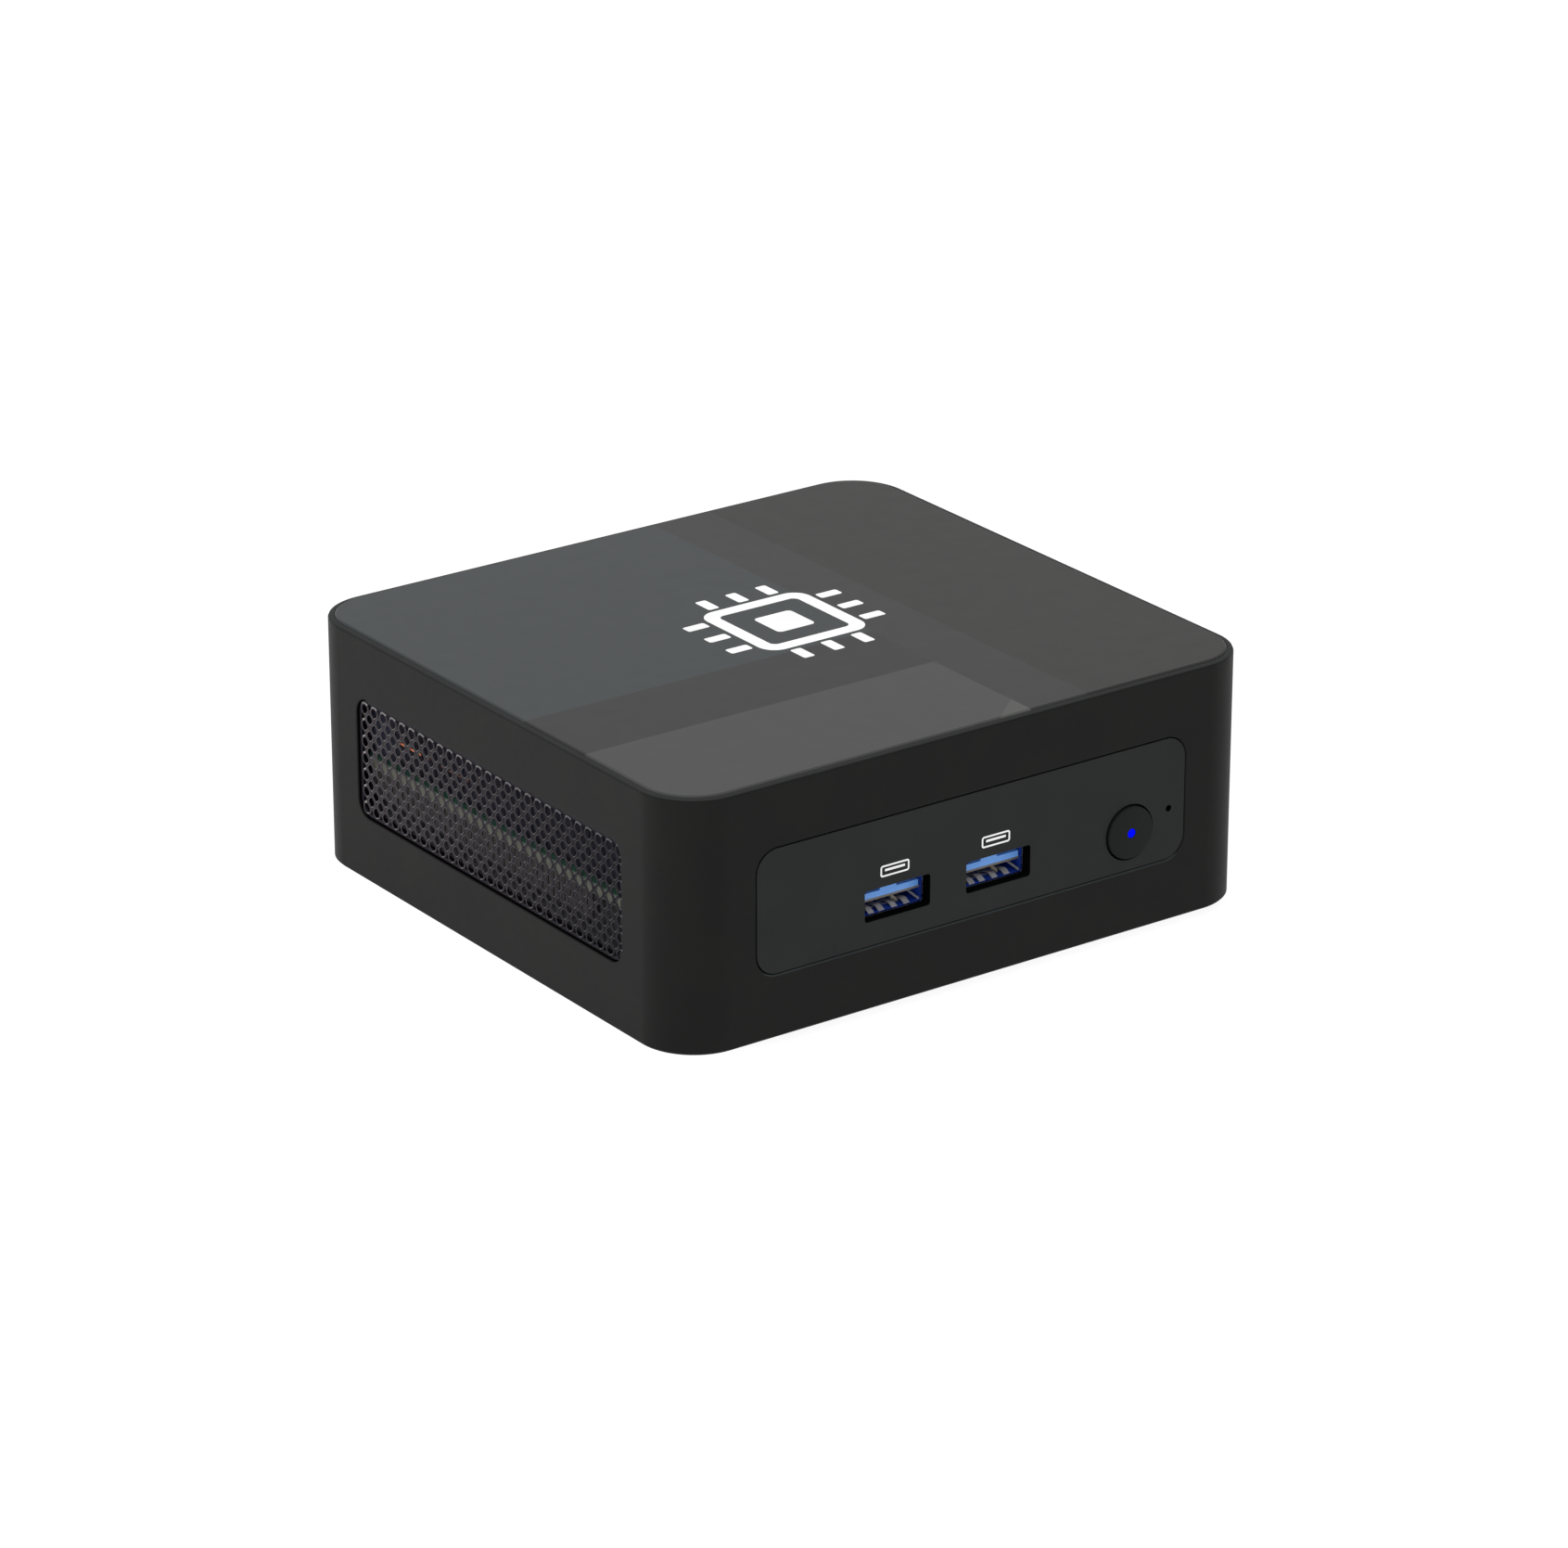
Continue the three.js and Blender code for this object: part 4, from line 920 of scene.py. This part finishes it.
def network_socket():
    """A steel can with a dark liner, the latch's way at the foot, and eight sprung wires."""
    x, box = REAR_SOCKETS["ethernet"], Box("ethernet_jack")
    y0 = SHELL.y0 + SOCKET_SET
    half, low, top = ETHERNET["width"] / 2, ETHERNET["low"], ETHERNET["top"]
    latch, latch_back, cavity_back = ETHERNET["latch"] / 2, y0 + 8, y0 + 14
    can = socket_block("network_can", box, x, box.depth)
    cut(can, block("cutter", (x - half, y0 - 1, low), (x + half, cavity_back, top)))
    cut(can, block("cutter", (x - latch, y0 - 1, ETHERNET["latch_low"]), (x + latch, latch_back, low + 1)))
    bevel(can, 0.15, 2, lambda m: abs(m.y - y0) < 0.01)
    finished(turned_to_rear(can), "socket_steel", replaces=("ethernet_jack",))
    outer, inner = half - 0.02, half - 0.5
    liner = block(
        "network_liner", (x - outer, y0 + 1.2, low + 0.02), (x + outer, cavity_back - 0.1, top - 0.02))
    cut(liner, block("cutter", (x - inner, y0, low + 0.4), (x + inner, cavity_back - 0.8, top - 0.5)))
    cut(liner, block("cutter", (x - latch, y0, low - 1), (x + latch, latch_back, low + 1)))
    finished(turned_to_rear(liner), "socket_black")
    route = ((1.8, -0.65), (3.0, -0.7), (5.0, -1.6), (8.0, -3.0), (11.0, -4.3), (12.6, -4.8))
    count, pitch, width, thickness = 8, 1.02, 0.42, 0.3
    wires = []
    for i in range(count):
        wire_x = x + (i - (count - 1) / 2) * pitch
        wires.append(swept("wire", [(wire_x, y0 + y, top + dz) for y, dz in route], width, thickness))
    finished(turned_to_rear(gathered("network_contacts", wires)), "contact_gilt")


def round_socket(name):
    """A block behind the panel and a smooth collar round its bore, through the panel."""
    socket = ROUND_SOCKETS[name]
    x, z, bore = REAR_SOCKETS[name], socket["z"], socket["bore"]
    box = Box(socket["node"])
    past_panel = 0.62
    y0, depth = SHELL.y0 + SOCKET_SET, box.depth - SOCKET_SET - past_panel
    outer, proud, round_edge = bore + COLLAR_WALL, SOCKET_SET + past_panel, 0.15
    bore_depth = depth - 1.5
    body = socket_block("block", box, x, depth, 0.5)
    cut(body, plate("cutter", circle(bore + 0.02, x, z), y0 - 1, y0 + bore_depth, facing_front))
    profile = [
        (outer, -0.3), (outer, proud - round_edge), (outer - round_edge / 3, proud - round_edge / 3),
        (outer - round_edge, proud), (bore + 0.12, proud), (bore, proud - 0.2), (bore, -0.3),
    ]
    collar = turned("collar", profile, (x, y0, z), 64, True)
    whole = turned_to_rear(gathered(f"{name}_socket", [body, collar]))
    finished(whole, "socket_black", replaces=(socket["node"],))
    lining, front, back = bore - 0.2, -0.4, 0.4 - bore_depth
    liner_profile = [(bore, front), (bore, back), (lining, back), (lining, front)]
    liner = turned(f"{name}_socket_liner", liner_profile, (x, y0, z), 48, True)
    finished(turned_to_rear(liner), "socket_steel")


# ---- power button
def power_button():
    """A low domed cap with a rounded edge, and the small lit lens in its middle."""
    radius, bore, back, edge, proud = 4.46, 0.8, 2.9, 0.2, 0.62
    shoulder = 0.42
    profile = [(bore, -back), (radius, -back), (radius, shoulder - edge)]
    for i in range(1, 6):
        t = i / 5 * math.radians(80)
        profile.append((radius - edge * (1 - math.cos(t)), shoulder - edge + edge * math.sin(t)))
    rim_radius, rim_height = profile[-1]
    steps = 12
    for i in range(1, steps + 1):
        t = i / steps
        r = rim_radius + (bore - rim_radius) * t
        profile.append((r, rim_height + (proud - rim_height) * (1 - (r / rim_radius) ** 2)))
    cap = turned("power_button_cap", profile, (PIPE.cx, SHELL.y0, PIPE.cz), 96, True)
    finished(cap, "panel_plastic", BUTTON_BLACK, "power_button", ("power_button",))
    lens_radius, round_edge = 0.76, 0.1
    lens_profile = [(0, -3), (lens_radius, -3), (lens_radius, proud - round_edge)]
    for i in range(1, 6):
        t = i / 5 * math.pi / 2
        r = lens_radius * math.cos(t) if i < 5 else 0
        lens_profile.append((r, proud - round_edge * (1 - math.sin(t))))
    lens = turned("power_lens", lens_profile, (PIPE.cx, SHELL.y0, PIPE.cz), 48, True)
    finished(lens, "blue_lens", body="power_button", replaces=("power_light_pipe",))


# ---- vent meshes
class Lattice:
    """The mesh's holes: columns along Y, every other one half a step lower."""

    columns = 53
    near_end = -37.75
    first_y = 36.0
    step_y = 1.4054
    top_z = 31.44
    step_z = 2.9
    rows = 7
    hole = (0.86, 0.82)
    crest = (0.97, 0.93)
    foot = (1.05, 1.01)
    thickness = 0.17
    squareness = 1.45  # 1 is a diamond, 2 an ellipse
    border_squareness = 2.2  # of a hole's rings, on the side where no hole follows
    scallop_squareness = 2.6
    scallop_margin = 0.14
    border_depth = 0.14
    around = 16

    @classmethod
    def has(cls, column, row):
        return 0 <= column < cls.columns and 0 <= row < cls.rows - column % 2

    @classmethod
    def middle(cls, column, row):
        lower = column % 2 / 2
        return cls.first_y - column * cls.step_y, cls.top_z - (row + lower) * cls.step_z

    @classmethod
    def neighbour(cls, column, row, sy, sz):
        """Whether the next hole diagonally towards sy, sz is there."""
        odd = column % 2
        return cls.has(column - sy, row + (odd - 1 if sz > 0 else odd))


QUARTERS = ((1, 1), (-1, 1), (-1, -1), (1, -1))
# rim and crest are painted highlights; web, crest and rim lighten towards the rear: painted light.
MESH_LOOKS = {"web": MESH_WEB_PAINTED_LIGHT, "rim": MESH_RIM_PAINTED_HIGHLIGHT, "wall": MESH_WALL, "crest": MESH_CREST_PAINTED_HIGHLIGHT}
BANDS = ("wall", "crest", "crest", "web", "web", "wall")  # from a hole's inner wall outwards


def rounded_diamond(half, t, power):
    c, s = math.cos(t), math.sin(t)
    r = (abs(c / half[0]) ** power + abs(s / half[1]) ** power) ** (-1 / power)
    return r * c, r * s


def cell_edge(column, row, i):
    """A point on the lattice cell's border: a diamond, pulled in to a scallop where no hole follows."""
    quarter, step = divmod(i, Lattice.around // 4)
    share = step / (Lattice.around // 4)
    corners = ((1, 0), (0, 1), (-1, 0), (0, -1), (1, 0))
    (ay, az), (by, bz) = corners[quarter], corners[quarter + 1]
    y = (ay + (by - ay) * share) * Lattice.step_y
    z = (az + (bz - az) * share) * Lattice.step_z / 2
    open_after = not Lattice.neighbour(column, row, *QUARTERS[quarter])
    open_before = not Lattice.neighbour(column, row, *QUARTERS[quarter - 1])
    pulled = open_after if share else (open_after and open_before)
    if pulled:
        scallop = [half + Lattice.scallop_margin for half in Lattice.foot]
        y, z = rounded_diamond(scallop, math.atan2(z, y), Lattice.scallop_squareness)
    return y, z, pulled


def ring_profile():
    """A hole's rings as (half axes, depth): its wall from behind, its crest and the crest's foot."""
    hole = Lattice.hole
    return (hole, Lattice.thickness), (hole, 0.09), (Lattice.crest, 0.0), (Lattice.foot, 0.05)


def face_kind(k, i, pulled):
    """The look of face i in band k: the bands' own, but a painted highlight where the light would catch a
    rim.
    """
    n = Lattice.around
    lower_rim_highlight = k == 1 and n // 2 <= i < 3 * n // 4
    border_rim_highlight = k in (2, 3) and pulled and n // 8 <= i < 3 * n // 8
    return "rim" if lower_rim_highlight or border_rim_highlight else BANDS[k]


def lattice_cell(column, row):
    """One cell's points as (y, z, depth), ring by ring, and its faces as (kind, four indices)."""
    n = Lattice.around
    y0, z0 = Lattice.middle(column, row)
    edges = [cell_edge(column, row, i) for i in range(n)]
    shapes = [
        (math.atan2(z, y), Lattice.border_squareness if pulled else Lattice.squareness)
        for y, z, pulled in edges
    ]
    rings = [
        [(*rounded_diamond(half, *shape), depth) for shape in shapes] for half, depth in ring_profile()
    ]
    rings.append([(y, z, Lattice.border_depth if pulled else 0.05) for y, z, pulled in edges])
    rings.append([(y, z, Lattice.thickness) for y, z, _ in edges])
    points = [(y0 + y, z0 + z, depth) for ring in rings for y, z, depth in ring]
    faces = []
    for k in range(len(rings)):
        after = (k + 1) % len(rings)
        for i in range(n):
            outer_wall = k == 4
            if outer_wall and Lattice.neighbour(column, row, *QUARTERS[i // (n // 4)]):
                continue
            j = (i + 1) % n
            corners = (k * n + i, k * n + j, after * n + j, after * n + i)
            faces.append((face_kind(k, i, edges[i][2]), corners))
    return points, faces


def trimmed(bm, y):
    """Cuts the plate straight at y and closes the cut."""
    cut_made = bmesh.ops.bisect_plane(
        bm, geom=bm.verts[:] + bm.edges[:] + bm.faces[:], plane_co=(0, y * MM, 0),
        plane_no=(0, -1, 0), clear_outer=True)
    edges = [e for e in cut_made["geom_cut"] if isinstance(e, bmesh.types.BMEdge)]
    bmesh.ops.holes_fill(bm, edges=edges, sides=0)


def vent_mesh(side, outward):
    """The pierced plate with its raised rims."""
    face = SHELL.x1 - VENT["recess"]
    points, faces, kinds = [], [], []
    for column in range(Lattice.columns):
        for row in range(Lattice.rows - column % 2):
            cell_points, cell_faces = lattice_cell(column, row)
            base = len(points)
            points += [(outward * (face - depth), y, z) for y, z, depth in cell_points]
            for kind, corners in cell_faces:
                faces.append(tuple(base + c for c in corners))
                kinds.append(kind)
    piece = mesh_from(f"{side}_vent_grille", points, faces)
    for look in MESH_LOOKS.values():
        piece.data.materials.append(look)
    order = list(MESH_LOOKS)
    for polygon, kind in zip(piece.data.polygons, kinds):
        polygon.material_index = order.index(kind)
    edit(piece, lambda bm: bmesh.ops.remove_doubles(bm, verts=bm.verts, dist=0.002 * MM))
    edit(piece, lambda bm: trimmed(bm, Lattice.near_end))
    edit(piece, lambda bm: bmesh.ops.recalc_face_normals(bm, faces=bm.faces))
    smooth(piece, 60)
    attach(piece, CASE_BODY)
    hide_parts(f"{side}_vent_mesh")


def vent_frame(side, outward):
    """The dark frame that holds the mesh: it shows between the scalloped border and the window."""
    def ring(name, grow, near, far):
        span = sorted(outward * (SHELL.x1 - depth) for depth in (near, far))
        return plate(name, window(VENT, grow), *span, facing_side)

    whole = ring(f"{side}_vent_frame", -0.25, 0.5, 1.9)
    cut(whole, ring("cutter", -0.85, 0.0, 1.2), ring("cutter", -0.45, 0.85, 3.0))
    finished(whole, "mesh_paint", MESH_BACKING)


# ---- underside
SLOTS = {"count": 9, "pitch": 5.2, "width": 2.0, "length": 34.0}
FOOT_PLACES = [(sx * 36.0, sy * 34.0) for sx in (-1, 1) for sy in (-1, 1)]
SCREW_PLACES = [(sx * 46.5, sy * 42.7) for sx in (-1, 1) for sy in (-1, 1)]
BRACKET_X = 37.5
BASE_HOLES = {"bracket": 1.25, "screw": 2.75, "foot": 5.6}  # radii
FOOT_HEIGHT = 1.94
SCREW_HEAD = 0.9


def base_plate():
    """The base cover with its air slots, bracket pads, and recesses for the screws and feet."""
    low, top = BASE.z0 + 0.2, BASE.z0 + 1.8
    piece = plate("base_plate", case_outline(1.55), low, top)
    pads = [plate("pad", circle(5.0, sx * BRACKET_X, 0, 64), BASE.z0, low + 0.2) for sx in (-1, 1)]
    join(piece, *pads)
    cutters = []
    for i in range(SLOTS["count"]):
        x = (i - (SLOTS["count"] - 1) / 2) * SLOTS["pitch"]
        outline = rounded(SLOTS["width"], SLOTS["length"], SLOTS["width"] / 2 - 0.01, x, 0, 6)
        cutters.append(plate("cutter", outline, low - 1, top + 1))
    brackets = [(sx * BRACKET_X, 0) for sx in (-1, 1)]
    for name, places, sides, end in (
        ("bracket", brackets, 32, top + 1),
        ("screw", SCREW_PLACES, 48, low + 1.0),
        ("foot", FOOT_PLACES, 64, low + 0.6),
    ):
        cutters += [plate("cutter", circle(BASE_HOLES[name], x, y, sides), low - 1, end) for x, y in places]
    cut(piece, *cutters)
    bevel(piece, 0.12, 2, lambda m: m.z < low + 0.01)
    finished(piece, "case_plastic", replaces=("base_cover",))


def place_name(x, y):
    return f"{'rear' if y > 0 else 'front'}_{'right' if x > 0 else 'left'}"


def foot(x, y):
    """A round rubber foot with a ring groove in its tread and a softened edge."""
    profile = [(0, 0), (2.6, 0), (2.75, 0.22), (3.05, 0.22), (3.2, 0)]
    profile += [(4.55, 0), (4.75, 0.08), (4.9, 0.25), (5.5, 1.2), (5.5, FOOT_HEIGHT), (0, FOOT_HEIGHT)]
    place = place_name(x, y)
    piece = turned(f"rubber_foot_{place}", profile, (x, y, 0), 72)
    finished(piece, "foot_rubber", replaces=(f"foot_{place}",))


def base_screw(x, y):
    """A pan-headed screw with a cross recess."""
    low = BASE.z0 + 0.2
    profile = [(0, 0), (1.9, 0), (2.35, 0.1), (2.6, 0.35)]
    profile += [(2.6, SCREW_HEAD), (1.15, SCREW_HEAD), (1.15, 9.2), (0, 9.5)]
    place = place_name(x, y)
    piece = turned(f"screw_{place}", profile, (x, y, low), 48)
    for width, length in ((0.5, 2.6), (2.6, 0.5)):
        outline = rounded(width, length, 0.12, x, y, 3)
        cut(piece, plate("cutter", outline, low - 1, low + 0.6))
    finished(piece, "screw_steel", replaces=(f"base_screw_{place}",))


# ---- what shows through the vents
BOARD_TOP = Box("main_board").z1
CHIPS = (  # x, y, width, depth
    (-44, -41, 6, 5), (-43.5, -30, 5, 7), (-44, -17, 4, 4), (-42.5, -4, 7, 6),
    (-44.6, 8, 2.6, 5), (-43.5, 17, 4, 3.2), (-34, -32, 8, 8),
)
COILS = ((-37, -20), (-37, -12), (-37, -44))


def standing(name, x, y, width, depth, low, high):
    """A block on the board, centred on x and y, from low to high above the board's top."""
    half_x, half_y, top = width / 2, depth / 2, BOARD_TOP
    return block(name, (x - half_x, y - half_y, top + low), (x + half_x, y + half_y, top + high))


def board_chips():
    """Chips on the board's left strip, with their legs."""
    bodies = [standing("chip", x, y, width, depth, 0.1, 1.1) for x, y, width, depth in CHIPS]
    finished(bevel(gathered("board_chips", bodies), 0.1, 2), "silicon", DIE_BLACK)
    pitch, leg_width, leg_reach = 0.9, 0.36, 0.5
    legs = []
    for x, y, width, depth in CHIPS:
        count = int(depth / pitch)
        for i in range(count):
            leg_y = y + (i - (count - 1) / 2) * pitch
            legs.append(standing("leg", x, leg_y, width + 2 * leg_reach, leg_width, 0, 0.25))
    finished(gathered("board_chip_legs", legs), "socket_steel", SOLDER_GREY)


def board_capacitors():
    """A long zigzag of small capacitors with soldered ends."""
    ceramics, ends = [], []
    for i in range(26):
        x, y = -45.6 + (i % 3) * 1.3, -37 + i * 2.75
        ceramics.append(standing("body", x, y, 0.5, 0.6, 0, 0.55))
        ends += [standing("end", x, y + sign * 0.45, 0.56, 0.32, 0, 0.58) for sign in (-1, 1)]
    finished(gathered("board_capacitors", ceramics), "battery_wrap", TAN_CERAMIC)
    finished(gathered("board_capacitor_ends", ends), "socket_steel", SOLDER_GREY)


def board_coils():
    coils = [standing("coil", x, y, 6, 6, 0.1, 3) for x, y in COILS]
    finished(bevel(gathered("board_coils", coils), 0.5, 3), "silicon", GASKET_GREY)


def side_card():
    """A narrow card just inside the left vent."""
    card = block("side_card", (-54.7, -43.5, 20.4), (-52.9, 44.3, 22.3))
    finished(bevel(card, 0.08, 1), "board_laminate", CARD_GREEN)


def dust_screen(name, low, top, look):
    """A dark sheet just behind the vent, with a row of upright pockets in its outer side."""
    screen = block(name, (-53.4, -44.5, low), (-52.95, 45.0, top))
    pitch, pocket, margin = 4.0, 3.0, 0.6
    pockets = []
    for i in range(22):
        y = -43 + i * pitch
        pockets.append(block("cutter", (-54.0, y, low + margin), (-53.28, y + pocket, top - margin)))
    finished(cut(screen, *pockets), "socket_black", look)


def side_connector():
    """A ribbed connector under the side card."""
    pitch, rib = 1.57, 1.3
    ribs = [block("back", (-53.9, -26.5, 15.1), (-53.45, 42, 20.35))]
    for i in range(43):
        y = -26.0 + i * pitch
        ribs.append(block("rib", (-54.2, y, 15.5), (-53.85, y + rib, 20.1)))
    finished(gathered("side_connector", ribs), "socket_black", GASKET_GREY)


def side_copper():
    """A copper strip above the side card, and a row of dull fingers beside it."""
    strip = block("side_copper_strip", (-54.6, 22.4, 27.1), (-54.2, 28.9, 27.5))
    finished(bevel(strip, 0.05, 1), "copper")
    pitch, finger = 2.3, 1.1
    fingers = []
    for i in range(8):
        y = 4.0 + i * pitch
        fingers.append(block("finger", (-54.5, y, 27.15), (-54.2, y + finger, 27.42)))
    finished(gathered("side_copper_fingers", fingers), "copper", DULL_COPPER)


# ---- stage, light and camera
def stage():
    """A pale floor that glows a little, more so towards the left."""
    bpy.ops.mesh.primitive_plane_add(size=8.0, location=(0, 0, 0))
    floor = bpy.context.object
    floor.name = "floor"
    paint = Paint("floor_white", 0.8, 0.0)
    x, y, _ = paint.axes(paint.place)
    leftwards = paint.math("SUBTRACT", paint.math("MULTIPLY", y, 0.1), x)
    start, end = 0.03, 0.13  # metres leftwards
    glow = paint.spread(leftwards, STUDIO["table"], STUDIO["table_left"], start, end)
    white = (1, 1, 1, 1)
    paint.feed(paint.shader, Base_Color=(0.12, 0.12, 0.12, 1), Emission_Color=white, Emission_Strength=glow)
    floor.data.materials.append(paint.material)


def area_light(name, place, aim, size, power):
    data = bpy.data.lights.new(name, "AREA")
    data.shape = "RECTANGLE"
    data.size, data.size_y = size
    data.energy = power
    lamp = in_scene(name, data)
    lamp.location = place
    lamp.rotation_euler = (Vector(aim) - Vector(place)).to_track_quat("-Z", "Y").to_euler()


def lights():
    """A sky that is brightest overhead and a little brighter to the rear left, and a lamp above."""
    world = bpy.data.worlds.new("studio")
    world.use_nodes = True
    sky = Graph(world.node_tree)
    direction = sky.node("TexCoord").outputs["Generated"]
    towards = sky.node("VectorMath", operation="DOT_PRODUCT")
    sky.put(towards.inputs[0], direction)
    sky.put(towards.inputs[1], (-0.6, 0.8, 0.0))

    def lobe(value, strength):
        """Full strength where the value is 1, nothing where it is 0 or less."""
        return sky.math("MULTIPLY", sky.math("POWER", sky.math("MAXIMUM", value), 2.0), strength)

    dome = sky.math("ADD", lobe(sky.axes(direction)["Z"], STUDIO["overhead"]), STUDIO["sides"])
    rear_left = lobe(towards.outputs["Value"], STUDIO["rear_left"])
    background = sky.tree.nodes["Background"]
    sky.feed(background, Color=(1, 1, 1, 1), Strength=sky.math("ADD", dome, rear_left))
    bpy.context.scene.world = world
    area_light("overhead", (-0.4, -0.3, 1.6), (0, 0, 0.02), (1.6, 1.6), STUDIO["panel"])


def camera():
    """Stands at the photograph's viewing angle and distance."""
    azimuth, elevation = math.radians(-35.7894), math.radians(22.2547)
    distance, right_shift, up_shift = 1020.8, -1.045, 3.875
    back = Vector((
        math.sin(azimuth) * math.cos(elevation),
        -math.cos(azimuth) * math.cos(elevation),
        math.sin(elevation),
    ))
    right = (-back).cross(Vector((0, 0, 1))).normalized()
    up = right.cross(-back)
    middle = Vector((0, 0, SHELL.cz))
    data = bpy.data.cameras.new("camera")
    data.lens = 143.5
    data.sensor_width = 36.0
    data.clip_end = 20.0
    made = in_scene("camera", data)
    made.matrix_world = Matrix((right, up, back)).transposed().to_4x4()
    made.location = (middle + back * distance - right * right_shift - up * up_shift) * MM
    bpy.context.scene.camera = made


bpy.context.scene.view_settings.view_transform = "Standard"
camera()
stage()
lights()
case_shell()
lid()
lid_mark()
front_panel()
rear_panel()
for side in FRONT_USB:
    front_usb(side)
    port_symbol(side)
rear_usb_stack()
for which in ("first", "second"):
    video_socket(which)
network_socket()
for name in ROUND_SOCKETS:
    round_socket(name)
power_button()
for side, outward in (("left", -1), ("right", 1)):
    vent_mesh(side, outward)
    vent_frame(side, outward)
base_plate()
for x, y in FOOT_PLACES:
    foot(x, y)
for x, y in SCREW_PLACES:
    base_screw(x, y)
board_chips()
board_capacitors()
board_coils()
side_card()
# Each screen's look lightens where the case shades it: painted light.
dust_screen("upper_dust_screen", 22.32, 36.4, SCREEN_BLUE_PAINTED_LIGHT)
dust_screen("lower_dust_screen", 8.6, 20.3, SCREEN_GREY_PAINTED_LIGHT)
side_connector()
side_copper()
